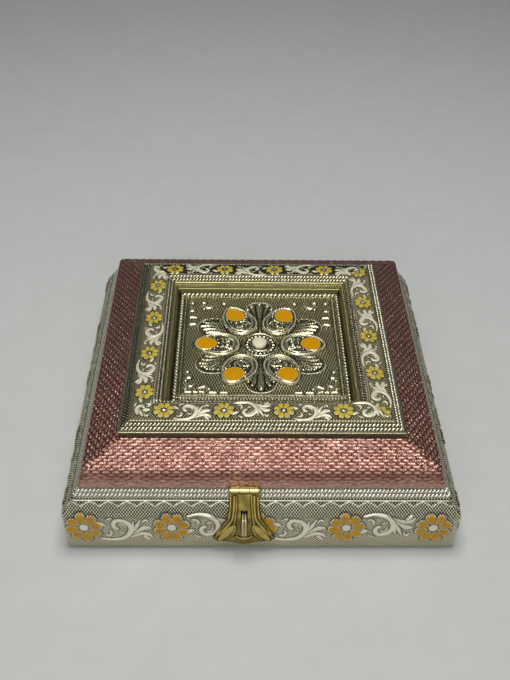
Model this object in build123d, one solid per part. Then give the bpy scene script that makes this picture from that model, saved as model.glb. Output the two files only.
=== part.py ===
from build123d import *
import math
import os

# Square keepsake box for dried fruit: mitred wooden walls and lid, all faced with embossed metal sheet.
# Millimetres. The origin is under the middle of the bottom board, +Z is up and the hasp faces -Y.

# Base
base_width = 254.0
foot_lift = 2.0
wall_height = 31.0
shoulder_height = 15.5
shoulder_run = 10.2
corner_radius = 3.0
sheet_thickness = 0.5
rim_width = 10.6
board_thickness = 4.0
board_ledge = 3.0
board_play = 0.2
velvet_thickness = 0.8
velvet_margin = 1.0

# Dividers inside the base
divider_thickness = 4.0
divider_height = 36.0
divider_play = 0.2

# Lid
lid_gap = 0.3
lid_lip = 0.1
skirt_height = 12.5
skirt_lean = 4.2
skirt_width = 12.4
bevel_run = 20.7
bevel_rise = 6.9
bevel_bed = 8.0
lid_board_thickness = 6.5
lid_board_play = 0.1
lid_velvet_thickness = 1.0

# Picture frame on the lid
frame_lip = 4.0
frame_shoulder_run = 7.2
frame_shoulder_rise = 4.2
frame_band = 15.5
frame_crown = 1.2
cove_run = 9.3
cove_knee_run = 4.6
cove_knee_drop = 3.7
panel_depth = 11.3

# Hinges
hinge_width = 30.0
hinge_inset = 52.0
leaf_reach = 11.0
leaf_thickness = 0.9
leaf_play = 0.1
barrel_radius = 2.1
barrel_clearance = 0.5
knuckle_gap = 0.15
pin_radius = 1.0
pin_clearance = 0.05
pin_head_radius = 1.5
pin_head_length = 0.6

# Screws
screw_head_radius = 1.6
screw_head_height = 0.7
screw_shank_radius = 0.8
screw_length = 7.0
screw_inset = 3.6
screw_spread = 0.56
screw_slot_width = 0.45
screw_slot_depth = 0.3
screw_clearance = 0.05

# Hasp
hasp_offset = -11.3
hasp_barrel_width = 17.2
hasp_knuckle_width = 6.6
hasp_axis_lift = 0.5
hasp_thickness = 0.9
hasp_clearance = 1.3
hasp_neck_half = 9.2
hasp_waist_half = 11.9
hasp_waist_drop = 18.0
hasp_tip_half = 20.0
hasp_tip_drop = 34.5
hasp_lobe_half = 18.4
hasp_lobe_drop = 38.0
hasp_heel_half = 13.5
hasp_heel_drop = 38.6
hasp_chin_half = 6.5
hasp_chin_drop = 40.2
hasp_drop = 42.2
hasp_top_drop = 2.0
slot_half = 2.1
slot_top_drop = 11.7
slot_bottom_drop = 31.2

# Staple
staple_width = 3.6
staple_strip = 1.6
staple_reach = 8.6
staple_depth = 8.0
staple_top_drop = 13.8
staple_height = 14.8
staple_bend = 4.6
staple_clearance = 0.05

# Flowers and scrolls raised on the base's faces
flower_count = 5
flower_pitch = 56.0
flower_rise = 20.0
flower_half_width = 11.8
flower_half_height = 13.6
flower_petals = 8
flower_petal_half = 3.0
flower_heart = 3.1
scroll_radius = 7.2
scroll_band = 2.4
scroll_leaf_half = 2.2
scroll_leaf_end = 16.0
chasing_height = 0.6

# Rosette and borders raised on the panel
petal_count = 6
petal_middle = 30.5
petal_length = 32.0
petal_width = 23.0
petal_height = 2.4
petal_draft = 1.8
leaf_start = 24.0
leaf_widest = 41.0
leaf_end = 49.5
leaf_half = 6.4
leaf_height = 1.4
leaf_draft = 1.0
ring_radius = 10.9
ring_half = 0.7
ring_height = 1.3
boss_radius = 5.7
boss_height = 4.5
rope_half = 58.6
rope_width = 2.4
rope_height = 1.5
bead_half = 55.6
bead_width = 1.8
bead_height = 0.8

# Heights and half widths that follow from the sizes above.
base_half = base_width / 2
wall_bottom = foot_lift
wall_top = wall_bottom + wall_height
rim_top = wall_top + shoulder_height
rim_half = base_half - shoulder_run
inner_half = rim_half - rim_width
lid_bottom = rim_top + lid_gap
lid_half = rim_half + lid_lip
break_half = lid_half - skirt_lean
break_top = lid_bottom + skirt_height
frame_half = break_half - bevel_run
bevel_top = break_top + bevel_rise
skirt_inner_half = lid_half - skirt_width
bed_half = frame_half - bevel_bed
band_outer = frame_half - frame_shoulder_run
band_inner = band_outer - frame_band
band_top = bevel_top + frame_lip + frame_shoulder_rise
crown_top = band_top + frame_crown
panel_half = band_inner - cove_run
panel_top = crown_top - panel_depth
axis_reach = rim_half + (barrel_radius + barrel_clearance) * math.hypot(shoulder_run, shoulder_height) / shoulder_height
hinge_axis_z = rim_top + lid_gap / 2
hasp_axis_z = lid_bottom + hasp_axis_lift

# Outside lines of the sheet metal as (half width, height) points, from the bottom up.
base_line = [(base_half, wall_bottom), (base_half, wall_top), (rim_half, rim_top)]
lid_line = [(lid_half, lid_bottom), (break_half, break_top), (frame_half, bevel_top)]
frame_line = [
    (frame_half, bevel_top),
    (frame_half, bevel_top + frame_lip),
    (band_outer, band_top),
    ((band_outer + band_inner) / 2, crown_top),
    (band_inner, crown_top),
    (band_inner - cove_knee_run, crown_top - cove_knee_drop),
    (panel_half, panel_top),
]

SIDES = ("front", "right", "back", "left")
FAR = 4 * base_width


def offset_line(points, distance):
    """The line set off by distance to its left, with mitred bends, its end points kept at their heights."""
    moved = []
    for i, (x, z) in enumerate(points):
        if i in (0, len(points) - 1):
            normal = left_normal(*(points[:2] if i == 0 else points[-2:]))
            moved.append((x + distance / normal[0], z))
            continue
        ax, az = left_normal(points[i - 1], points[i])
        bx, bz = left_normal(points[i], points[i + 1])
        share = 1 + ax * bx + az * bz
        moved.append((x + distance * (ax + bx) / share, z + distance * (az + bz) / share))
    return moved


def left_normal(start, end):
    """Unit normal on the left of the way from start to end."""
    dx = end[0] - start[0]
    dz = end[1] - start[1]
    length = math.hypot(dx, dz)
    return -dz / length, dx / length


def rounded_stack(levels):
    """A solid through rounded squares at (half width, height) levels."""
    squares = [
        Pos(0, 0, z) * RectangleRounded(2 * half, 2 * half, corner_radius)
        for half, z in levels
    ]
    return loft(squares, ruled=True)


def block(x_range, y_range, z_range):
    """A box between two values on each axis."""
    size = [high - low for low, high in (x_range, y_range, z_range)]
    middle = [(high + low) / 2 for low, high in (x_range, y_range, z_range)]
    return Pos(*middle) * Box(*size)


def square_block(half, low, high):
    """A square board between two heights."""
    return block((-half, half), (-half, half), (low, high))


def front_wedge():
    """The space in front of both diagonals, where a front piece lies between its mitres."""
    triangle = make_face(Polyline((0, 0), (-FAR, -FAR), (FAR, -FAR), close=True))
    return Pos(0, 0, -FAR / 4) * extrude(triangle, FAR / 2)


def front_strip(outline):
    """A mitred front moulding with an outline of (half width, height) points."""
    section = make_face(Plane.YZ * Polyline(*[(-half, z) for half, z in outline], close=True))
    return extrude(section, base_half, both=True) & front_wedge()


def four_sides(front_piece):
    """The front piece and its copies on the other three sides."""
    return {side: Rot(0, 0, 90 * turns) * front_piece for turns, side in enumerate(SIDES)}


def lens(start, widest, end, half):
    """A leaf-shaped outline along X between two points, widest at a place between them."""
    edge = ThreePointArc((start, 0), (widest, half), (end, 0))
    edge += ThreePointArc((end, 0), (widest, -half), (start, 0))
    return make_face(edge)


def flower():
    """A flower's outline: petals round a heart, a little taller than wide."""
    outline = Sketch() + Circle(flower_heart)
    for k in range(flower_petals):
        turn = 360 * k / flower_petals
        c, s = math.cos(math.radians(turn)), math.sin(math.radians(turn))
        reach = 1 / math.hypot(c / flower_half_width, s / flower_half_height)
        petal = lens(flower_heart / 2, 2 * reach / 3, reach, flower_petal_half)
        outline += Rot(0, 0, turn) * petal
    return outline


def scroll():
    """A scroll's outline: an open ring with a leaf on each side."""
    ring = Circle(scroll_radius) - Circle(scroll_radius - scroll_band)
    gap = Pos(-scroll_radius / 2, -scroll_radius / 2) * Rectangle(scroll_radius, scroll_radius)
    leaf = lens(scroll_radius - scroll_band, 2 * scroll_leaf_end / 3, scroll_leaf_end, scroll_leaf_half)
    return (ring - gap) + leaf + Rot(0, 0, 180) * leaf


def chasing(shell):
    """The flowers and scrolls of the front face, as far out as a shell reaches."""
    outline = Sketch()
    for k in range(flower_count):
        outline += Pos(flower_pitch * (k - (flower_count - 1) / 2), 0) * flower()
    for k in range(flower_count - 1):
        turn = 180 * (k % 2)
        outline += Pos(flower_pitch * (k + 1 - flower_count / 2), 0) * Rot(turn, 0, 0) * scroll()
    wall = Plane((0, 0, wall_bottom + flower_rise), (1, 0, 0), (0, -1, 0))
    return shell & front_wedge() & extrude(wall * outline, base_width, both=True)


def raised_lens(start, widest, end, half, height, draft):
    """A leaf shape that rises from the panel and narrows by a draft."""
    low = Pos(0, 0, panel_top) * lens(start, widest, end, half)
    high = Pos(0, 0, panel_top + height) * lens(start + draft, widest, end - draft, half - draft)
    return loft([low, high], ruled=True)


def raised_oval(middle, length, width, height, draft):
    """An oval along X that rises from the panel and narrows by a draft."""
    low = Pos(middle, 0, panel_top) * Ellipse(length / 2, width / 2)
    high = Pos(middle, 0, panel_top + height) * Ellipse(length / 2 - draft, width / 2 - draft)
    return loft([low, high], ruled=True)


def square_rail(half, width, height):
    """A square rail that stands on the panel, with the middle of its width at a half width."""
    heights = (panel_top, panel_top + height)
    return square_block(half + width / 2, *heights) - square_block(half - width / 2, *heights)


def rosette():
    """Six petals with leaves between them, round a domed boss in a ring, and two square rails."""
    work = square_rail(rope_half, rope_width, rope_height) + square_rail(bead_half, bead_width, bead_height)
    for k in range(petal_count):
        turn = 360 / petal_count * k
        petal = raised_oval(petal_middle, petal_length, petal_width, petal_height, petal_draft)
        leaf = raised_lens(leaf_start, leaf_widest, leaf_end, leaf_half, leaf_height, leaf_draft)
        work += Rot(0, 0, turn) * petal + Rot(0, 0, turn + 180 / petal_count) * leaf
    ring = Cylinder(ring_radius + ring_half, ring_height) - Cylinder(ring_radius - ring_half, ring_height)
    work += Pos(0, 0, panel_top + ring_height / 2) * ring
    dome_radius = (boss_radius**2 + boss_height**2) / (2 * boss_height)
    dome = Pos(0, 0, panel_top + boss_height - dome_radius) * Sphere(dome_radius)
    return work + (dome & square_block(boss_radius, panel_top, FAR))


def x_cylinder(radius, x_range, y, z):
    """A round bar along X."""
    length = x_range[1] - x_range[0]
    middle = (x_range[1] + x_range[0]) / 2
    return Pos(middle, y, z) * Rot(0, 90, 0) * Cylinder(radius, length)


def hinge_leaf(width, knuckles, low):
    """A leaf that runs from the X axis towards -Y, its lower face at low, with its knuckles on the axis."""
    heights = (low, low + leaf_thickness)
    edge = -(barrel_radius + barrel_clearance)
    leaf = block((-width / 2, width / 2), (-leaf_reach, edge), heights)
    for span in knuckles:
        leaf += block(span, (edge, 0), heights)
        leaf += x_cylinder(barrel_radius, span, 0, 0)
    return leaf - x_cylinder(pin_radius + pin_clearance, (-width, width), 0, 0)


def outer_knuckles(width, middle_width):
    """The spans of the two outer knuckles."""
    inner = middle_width / 2 + knuckle_gap
    return [(-width / 2, -inner), (inner, width / 2)]


def middle_knuckle(middle_width):
    """The span of the middle knuckle."""
    return [(-middle_width / 2, middle_width / 2)]


def hinge_pin(width):
    """A pin along X with a peened head at each end."""
    half = width / 2 + pin_head_length
    pin = x_cylinder(pin_radius, (-half, half), 0, 0)
    for end in (-1, 1):
        head = sorted((end * (width / 2 + knuckle_gap), end * half))
        pin += x_cylinder(pin_head_radius, head, 0, 0)
    return pin


def screw(clearance=0.0):
    """A countersunk screw whose head is level with the XY plane and whose shank runs down; or, larger, its hole."""
    head = Pos(0, 0, -screw_head_height / 2) * Cone(
        screw_shank_radius + clearance, screw_head_radius + clearance, screw_head_height
    )
    shank = Pos(0, 0, -screw_length / 2) * Cylinder(screw_shank_radius + clearance, screw_length + clearance)
    if clearance:
        return head + shank
    slot = Pos(0, 0, -screw_slot_depth / 2) * Box(3 * screw_head_radius, screw_slot_width, screw_slot_depth)
    return (head + shank) - slot


def screw_places(width):
    """Where a leaf's two screws go, as (x, y) from the middle of its pin."""
    return [(side * width * screw_spread / 2, -(leaf_reach - screw_inset)) for side in (-1, 1)]


def leaf_pocket(width, low, high):
    """The room a leaf takes in the wood, out past the barrel."""
    half = width / 2 + leaf_play
    return block((-half, half), (-leaf_reach - leaf_play, barrel_radius), (low, high))


def hasp_half_outline():
    """The right half of the fan shape of the hasp plate, hung from its axis at the origin."""
    neck = (hasp_neck_half, -hasp_top_drop)
    waist = (hasp_waist_half, -hasp_waist_drop)
    tip = (hasp_tip_half, -hasp_tip_drop)
    lobe = (hasp_lobe_half, -hasp_lobe_drop)
    heel = (hasp_heel_half, -hasp_heel_drop)
    chin = (hasp_chin_half, -hasp_chin_drop)
    rise = hasp_drop - hasp_chin_drop
    chin_radius = (hasp_chin_half**2 + rise**2) / (2 * rise)
    turn = math.asin(hasp_chin_half / chin_radius) / 2
    chin_middle = (chin_radius * math.sin(turn), chin_radius * (1 - math.cos(turn)) - hasp_drop)
    edges = Line((0, -hasp_top_drop), neck)
    edges += ThreePointArc(neck, waist, tip)
    edges += ThreePointArc(tip, lobe, heel)
    edges += Line(heel, chin)
    edges += ThreePointArc(chin, chin_middle, (0, -hasp_drop))
    return edges


def hasp_plate():
    """The swinging plate: sheet that follows the shoulder and the wall, with a slot for the staple."""
    near = offset_line(base_line, -hasp_clearance)
    far = offset_line(base_line, -hasp_clearance - hasp_thickness)
    section = make_face(Plane.YZ * Polyline(*[(-half, z) for half, z in near + far[::-1]], close=True))
    strip = extrude(section, base_half, both=True)
    half = hasp_half_outline()
    fan = make_face(half + mirror(half, Plane.YZ))
    plate = strip & extrude(Plane((0, 0, hasp_axis_z), (1, 0, 0), (0, -1, 0)) * fan, base_width, both=True)
    whole_width = (-hasp_barrel_width, hasp_barrel_width)
    plate -= x_cylinder(barrel_radius + barrel_clearance, whole_width, -axis_reach, hasp_axis_z)
    knuckle = middle_knuckle(hasp_knuckle_width)[0]
    plate += strip & block(knuckle, (-axis_reach - barrel_radius, -rim_half), (wall_top, rim_top))
    plate += x_cylinder(barrel_radius, knuckle, -axis_reach, hasp_axis_z)
    plate -= x_cylinder(pin_radius + pin_clearance, whole_width, -axis_reach, hasp_axis_z)
    slot_heights = (hasp_axis_z - slot_bottom_drop, hasp_axis_z - slot_top_drop)
    return plate - block((-slot_half, slot_half), (-base_width, 0), slot_heights)


def staple(clearance=0.0):
    """The strip bent to a loop, its two legs sunk in the wall; or, larger, the room for it."""
    top = hasp_axis_z - staple_top_drop + clearance
    bottom = top - staple_height - 2 * clearance
    outer = (-base_half - staple_reach, -base_half + staple_depth)
    half = staple_width / 2 + clearance
    loop = block((-half, half), outer, (bottom, top))
    loop = fillet(loop.edges().filter_by(Axis.X).group_by(Axis.Y)[0], staple_bend)
    strip = staple_strip + 2 * clearance
    eye = block((-half, half), (outer[0] + strip, outer[1]), (bottom + strip, top - strip))
    eye = fillet(eye.edges().filter_by(Axis.X).group_by(Axis.Y)[0], staple_bend - staple_strip)
    return loop - eye


def base_parts():
    """The wooden walls, their sheet faces, the bottom board and everything that stays with them."""
    wood_line = offset_line(base_line, sheet_thickness)
    wood = rounded_stack(wood_line)
    inside = square_block(inner_half, 0, FAR)
    ledge = square_block(inner_half + board_ledge, 0, board_thickness)
    rails = four_sides(wood - inside - ledge & front_wedge())
    raised_line = offset_line(base_line, -chasing_height)
    plain_face = rounded_stack(base_line) - wood & front_wedge()
    faces = four_sides(plain_face + chasing(rounded_stack(raised_line) - wood))
    hasp_room = Pos(hasp_offset, 0, 0) * staple(staple_clearance)
    rails["front"] -= hasp_room
    faces["front"] -= hasp_room
    for x in hinge_places():
        pocket = Pos(x, axis_reach, hinge_axis_z) * leaf_pocket(
            hinge_width, rim_top - leaf_thickness - hinge_axis_z, FAR
        )
        rails["back"] -= pocket
        faces["back"] -= pocket
    for x, y in base_screw_places():
        rails["back"] -= Pos(x, y, rim_top) * screw(screw_clearance)
    parts = {f"base_{side}_rail": rail for side, rail in rails.items()}
    parts |= {f"base_{side}_sheet": face for side, face in faces.items()}
    board_half = inner_half + board_ledge - board_play
    parts["bottom_board"] = square_block(board_half, 0, board_thickness)
    return parts


def lining_parts():
    """The velvet on the floor and walls, and the two dividers that halve each other."""
    floor_top = board_thickness + velvet_thickness
    parts = {"floor_velvet": square_block(inner_half, board_thickness, floor_top)}
    velvet_half = inner_half - velvet_thickness
    heights = (floor_top, rim_top - velvet_margin)
    ring = square_block(inner_half, *heights) - square_block(velvet_half, *heights)
    strips = four_sides(ring & front_wedge())
    parts |= {f"wall_{side}_velvet": strip for side, strip in strips.items()}
    reach = velvet_half - divider_play
    half = divider_thickness / 2
    top = floor_top + divider_height
    middle = (floor_top + top) / 2
    notch = half + divider_play
    board = block((-reach, reach), (-half, half), (floor_top, top))
    long_notch = block((-notch, notch), (-half, half), (middle, top))
    cross_notch = block((-notch, notch), (-half, half), (floor_top, middle + divider_play))
    parts["long_divider"] = board - long_notch
    parts["cross_divider"] = Rot(0, 0, 90) * (board - cross_notch)
    return parts


def lid_parts():
    """The lid's skirt and bevel frames, their sheet faces, and the boards inside them."""
    wood_line = offset_line(lid_line, sheet_thickness)
    split = wood_line[1][1]
    hollow = square_block(skirt_inner_half, 0, split)
    opening = square_block(bed_half, split, FAR)
    skirts = four_sides(rounded_stack(wood_line[:2]) - hollow & front_wedge())
    bevels = four_sides(rounded_stack(wood_line[1:]) - opening & front_wedge())
    faces = four_sides(rounded_stack(lid_line) - rounded_stack(wood_line) & front_wedge())
    for x in hinge_places():
        pocket = Pos(x, axis_reach, hinge_axis_z) * leaf_pocket(
            hinge_width, -FAR, lid_bottom + leaf_thickness - hinge_axis_z
        )
        skirts["back"] -= pocket
        faces["back"] -= pocket
    for x, y in base_screw_places():
        skirts["back"] -= Pos(x, y, lid_bottom) * Rot(180, 0, 0) * screw(screw_clearance)
    pocket = Pos(hasp_offset, -axis_reach, hasp_axis_z) * Rot(0, 0, 180) * leaf_pocket(
        hasp_barrel_width, -FAR, lid_bottom + leaf_thickness - hasp_axis_z
    )
    skirts["front"] -= pocket
    faces["front"] -= pocket
    for x, y in hasp_screw_places():
        skirts["front"] -= Pos(x, y, lid_bottom) * Rot(180, 0, 0) * screw(screw_clearance)
    parts = {f"lid_{side}_skirt": skirt for side, skirt in skirts.items()}
    parts |= {f"lid_{side}_bevel": bevel for side, bevel in bevels.items()}
    parts |= {f"lid_{side}_sheet": face for side, face in faces.items()}
    board_half = skirt_inner_half - lid_board_play
    board_bottom = split - lid_board_thickness
    parts["lid_board"] = square_block(board_half, board_bottom, split)
    parts["lid_velvet"] = square_block(board_half, board_bottom - lid_velvet_thickness, board_bottom)
    panel_bottom = panel_top - sheet_thickness
    parts["panel_board"] = square_block(bed_half - lid_board_play, split, panel_bottom)
    parts["panel_sheet"] = square_block(bed_half - lid_board_play, panel_bottom, panel_top) + rosette()
    return parts


def frame_parts():
    """The picture frame round the panel: four mitred mouldings, each under its own sheet."""
    wood_line = offset_line(frame_line, sheet_thickness)
    underside = [(bed_half, panel_top), (bed_half, bevel_top)]
    mouldings = four_sides(front_strip(wood_line + underside))
    faces = four_sides(front_strip(frame_line + wood_line[::-1]))
    parts = {f"frame_{side}_moulding": moulding for side, moulding in mouldings.items()}
    return parts | {f"frame_{side}_sheet": face for side, face in faces.items()}


def hinge_places():
    """Where the two hinges stand along the back, each set in from its end of the wall."""
    return [hinge_inset - base_half, base_half - hinge_inset]


def base_screw_places():
    """The rear hinge screws, seen from above, as (x, y)."""
    return [(x + dx, axis_reach + dy) for x in hinge_places() for dx, dy in screw_places(hinge_width)]


def hasp_screw_places():
    """The screws of the hasp's fixed leaf, as (x, y)."""
    return [(hasp_offset + dx, -axis_reach - dy) for dx, dy in screw_places(hasp_barrel_width)]


def drilled(leaf, places, height, turn):
    """A leaf with countersunk holes that start at a height; turn 180 when the screws go up."""
    for x, y in places:
        leaf -= Pos(x, y, height) * Rot(turn, 0, 0) * screw(screw_clearance)
    return leaf


def screw_group(places, height, turn):
    """All the screws of one leaf pattern."""
    return Compound(children=[Pos(x, y, height) * Rot(turn, 0, 0) * screw() for x, y in places])


def hinge_parts():
    """Two butt hinges between the rim and the lid, with their pins and screws."""
    parts = {}
    third = hinge_width / 3
    places = base_screw_places()
    lower = hinge_leaf(hinge_width, middle_knuckle(third), rim_top - leaf_thickness - hinge_axis_z)
    upper = hinge_leaf(hinge_width, outer_knuckles(hinge_width, third), lid_bottom - hinge_axis_z)
    for name, x in zip(("left", "right"), hinge_places()):
        place = Pos(x, axis_reach, hinge_axis_z)
        parts[f"{name}_hinge_base_leaf"] = drilled(place * lower, places, rim_top, 0)
        parts[f"{name}_hinge_lid_leaf"] = drilled(place * upper, places, lid_bottom, 180)
        parts[f"{name}_hinge_pin"] = place * hinge_pin(hinge_width)
    parts["hinge_base_screws"] = screw_group(places, rim_top, 0)
    parts["hinge_lid_screws"] = screw_group(places, lid_bottom, 180)
    return parts


def hasp_parts():
    """The hasp: a leaf under the lid, a pin, the swinging plate and the staple it closes over."""
    knuckles = outer_knuckles(hasp_barrel_width, hasp_knuckle_width)
    leaf = hinge_leaf(hasp_barrel_width, knuckles, lid_bottom - hasp_axis_z)
    place = Pos(hasp_offset, -axis_reach, hasp_axis_z)
    leaf = place * Rot(0, 0, 180) * leaf
    return {
        "hasp_leaf": drilled(leaf, hasp_screw_places(), lid_bottom, 180),
        "hasp_pin": place * hinge_pin(hasp_barrel_width),
        "hasp_plate": Pos(hasp_offset, 0, 0) * hasp_plate(),
        "hasp_screws": screw_group(hasp_screw_places(), lid_bottom, 180),
        "staple": Pos(hasp_offset, 0, 0) * staple(),
    }


os.makedirs("parts", exist_ok=True)
for make in (base_parts, lining_parts, lid_parts, frame_parts, hinge_parts, hasp_parts):
    for node, shape in make().items():
        export_step(shape, f"parts/{node}.step")
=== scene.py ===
import math

import bpy
import numpy as np
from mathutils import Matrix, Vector


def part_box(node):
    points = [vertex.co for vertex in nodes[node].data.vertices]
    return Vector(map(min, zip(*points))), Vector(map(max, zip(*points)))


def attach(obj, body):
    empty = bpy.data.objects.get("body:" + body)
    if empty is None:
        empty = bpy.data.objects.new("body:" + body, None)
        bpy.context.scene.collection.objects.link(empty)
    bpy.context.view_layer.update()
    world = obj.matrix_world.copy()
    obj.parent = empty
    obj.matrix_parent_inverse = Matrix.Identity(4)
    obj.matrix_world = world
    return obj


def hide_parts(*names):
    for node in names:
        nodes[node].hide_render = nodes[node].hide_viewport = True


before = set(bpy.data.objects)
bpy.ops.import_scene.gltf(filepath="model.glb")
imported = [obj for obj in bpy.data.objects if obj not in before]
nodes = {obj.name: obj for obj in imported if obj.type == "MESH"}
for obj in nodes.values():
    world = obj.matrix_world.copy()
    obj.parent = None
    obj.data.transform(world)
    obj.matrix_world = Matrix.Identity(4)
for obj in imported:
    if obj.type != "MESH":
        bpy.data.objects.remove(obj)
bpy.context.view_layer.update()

# The wooden core: mitred rails, lid frames and boards of a pale close-grained wood, glued at the mitres.
# Only its rim, its underside and the box's inner edges are left bare under the metal and the velvet.
WOOD_PALE = (0.42, 0.25, 0.12, 1)
WOOD_DARK = (0.20, 0.10, 0.045, 1)
WOOD_RING_PITCH = 0.004
WOOD_PORE_PITCH = 0.0012
WOOD_BUMP = 0.00012
GRAIN_STRETCH = 0.08


class Value:
    """A number in a shader or geometry tree, so that a formula reads as a formula."""

    def __init__(self, tree, socket):
        self.tree = tree
        self.socket = socket

    def math(self, operation, *others, clamp=False):
        node = self.tree.nodes.new("ShaderNodeMath")
        node.operation = operation
        node.use_clamp = clamp
        for slot, value in enumerate((self, *others)):
            if isinstance(value, Value):
                self.tree.links.new(value.socket, node.inputs[slot])
            else:
                node.inputs[slot].default_value = value
        return Value(self.tree, node.outputs[0])

    def __add__(self, other):
        return self.math("ADD", other)

    def __mul__(self, other):
        return self.math("MULTIPLY", other)

    def __sub__(self, other):
        return self.math("SUBTRACT", other)

    def __rsub__(self, other):
        return (self * -1) + other

    def __truediv__(self, other):
        return self.math("DIVIDE", other)

    def __pow__(self, other):
        return self.math("POWER", other)

    __radd__ = __add__
    __rmul__ = __mul__

    def clamped(self):
        return self.math("ADD", 0.0, clamp=True)

    def larger(self, other):
        return self.math("MAXIMUM", other)

    def sine(self):
        return self.math("SINE")

    def size(self):
        return self.math("ABSOLUTE")


class Tree:
    """A shader or geometry tree, with short ways to add nodes."""

    def __init__(self, tree):
        self.tree = tree

    def node(self, kind, settings=None, inputs=None, output=0):
        """One node: its settings first, then its sockets' values or links; returns one output."""
        node = self.tree.nodes.new(kind)
        for name, value in (settings or {}).items():
            setattr(node, name, value)
        for name, value in (inputs or {}).items():
            if isinstance(value, Value):
                value = value.socket
            if isinstance(value, bpy.types.NodeSocket):
                self.tree.links.new(value, node.inputs[name])
            else:
                node.inputs[name].default_value = value
        return node.outputs[output]

    def value(self, kind, settings=None, inputs=None, output=0):
        return Value(self.tree, self.node(kind, settings, inputs, output))


class Finish(Tree):
    """A material as it is built up, with its main shader."""

    def __init__(self, name, **settings):
        self.material = bpy.data.materials.new(name)
        self.material.use_nodes = True
        super().__init__(self.material.node_tree)
        self.shader = self.tree.nodes["Principled BSDF"]
        for socket, value in settings.items():
            self.shader.inputs[socket.replace("_", " ")].default_value = value

    def mix(self, share, first, second, blend="MIX"):
        """Two colours mixed, or the first tinted by the second, by a share from 0 to 1."""
        settings = {"data_type": "RGBA", "blend_type": blend}
        return self.node("ShaderNodeMix", settings, {0: share, 6: first, 7: second}, output=2)

    def attribute(self, name):
        return self.value("ShaderNodeAttribute", {"attribute_name": name}, output=2)

    def place(self):
        """Where a point lies on the object."""
        return self.node("ShaderNodeTexCoord", output=3)

    def axis(self, vector, k):
        """One number of a vector."""
        return self.value("ShaderNodeSeparateXYZ", inputs={"Vector": vector}, output=k)

    def noise(self, scale, detail=2.0, vector=None):
        place = self.place() if vector is None else vector
        return self.value("ShaderNodeTexNoise", inputs={"Scale": scale, "Detail": detail, "Vector": place})

    def bump(self, height, distance):
        """A bump on the main shader's normal, of a depth in metres."""
        self.link(self.node("ShaderNodeBump", inputs={"Height": height, "Distance": distance}), "Normal")

    def link(self, source, socket):
        if isinstance(source, Value):
            source = source.socket
        self.tree.links.new(source, self.shader.inputs[socket])


def wood(name, stretch):
    """Bare wood whose grain runs along the axis that stretch makes long."""
    finish = Finish(name, Roughness=0.55, Coat_Weight=0.15, Coat_Roughness=0.35)
    along = finish.node("ShaderNodeMapping", inputs={"Vector": finish.place(), "Scale": stretch})
    ring = finish.noise(1 / WOOD_RING_PITCH, 3.0, along)
    pore = finish.noise(1 / WOOD_PORE_PITCH, 2.0, along)
    band = ((ring * 22.0).sine() * 0.5 + 0.5) * 0.6 + pore * 0.4
    finish.link(finish.mix(band.clamped(), WOOD_DARK, WOOD_PALE), "Base Color")
    finish.link(0.45 + pore * 0.25, "Roughness")
    finish.bump(band, WOOD_BUMP)
    return finish.material


def dress(material, *names):
    """Gives carried-over nodes their finish."""
    for name in names:
        slots = nodes[name].material_slots
        for slot in slots:
            slot.material = material
        if not slots:
            nodes[name].data.materials.append(material)


SIDES = ("front", "right", "back", "left")
wood_across = wood("wood_grain_across", (GRAIN_STRETCH, 1, 1))
wood_along = wood("wood_grain_along", (1, GRAIN_STRETCH, 1))
for side, grain in zip(SIDES, (wood_across, wood_along) * 2):
    dress(grain, f"base_{side}_rail", f"lid_{side}_skirt", f"lid_{side}_bevel", f"frame_{side}_moulding")
dress(wood_across, "bottom_board", "lid_board", "panel_board")

# The velvet lining: thin red pile cloth, cut to size and glued flat on the floor, the walls and the lid's
# board, and wrapped round the two dividers, which keep the frame's own shapes.
# Each cloth has a short nap that catches light at its edges, and it rises and falls a little over the glue.
VELVET_DEEP = (0.16, 0.006, 0.012, 1)
VELVET_LIT = (0.36, 0.02, 0.03, 1)
VELVET_SHEEN = (0.75, 0.10, 0.12, 1)
VELVET_PILE = 0.00025
VELVET_WAVE = 0.00022
VELVET_STEP = 0.004
VELVET_INSET = 0.0004


def velvet():
    """Red pile: a deep ground, a lit nap, and fine tufts."""
    finish = Finish(
        "red_velvet", Roughness=0.95, Sheen_Weight=0.4, Sheen_Roughness=0.35, Sheen_Tint=VELVET_SHEEN
    )
    nap = finish.noise(900.0)
    sweep = finish.noise(28.0)
    lit = (nap * 0.55 + sweep * 0.6 - 0.1).clamped()
    finish.link(finish.mix(lit, VELVET_DEEP, VELVET_LIT), "Base Color")
    finish.bump(nap, VELVET_PILE)
    return finish.material


def bare_piece(name, points, edges=(), faces=()):
    """An object at the origin, from points in metres, edges and faces."""
    mesh = bpy.data.meshes.new(name)
    mesh.from_pydata([tuple(p) for p in points], list(edges), [tuple(f) for f in faces])
    piece = bpy.data.objects.new(name, mesh)
    bpy.context.scene.collection.objects.link(piece)
    return piece


def mesh_piece(name, points, faces, material, smooth=True):
    """A dressed object from points in metres and faces."""
    piece = bare_piece(name, points, faces=faces)
    piece.data.materials.append(material)
    piece.data.polygons.foreach_set("use_smooth", [smooth] * len(faces))
    return piece


def fit(piece, body, node=None):
    """Says what a piece rides on, and which node it stands for."""
    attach(piece, body)
    if node:
        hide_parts(node)


def grid_faces(columns, rows, start=0, flip=False):
    """Quads over a grid of points stored column by column."""
    faces = []
    for i in range(columns - 1):
        for j in range(rows - 1):
            a = start + i * rows + j
            quad = (a, a + rows, a + rows + 1, a + 1)
            faces.append(quad[::-1] if flip else quad)
    return faces


def grid_edges(columns, rows, start=0):
    """The point numbers along a grid's bottom, right, top and left, each from low to high."""
    last = start + columns * rows
    bottom, top = (list(range(start + j, last, rows)) for j in (0, rows - 1))
    return bottom, list(range(last - rows, last)), top, list(range(start, start + rows))


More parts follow.
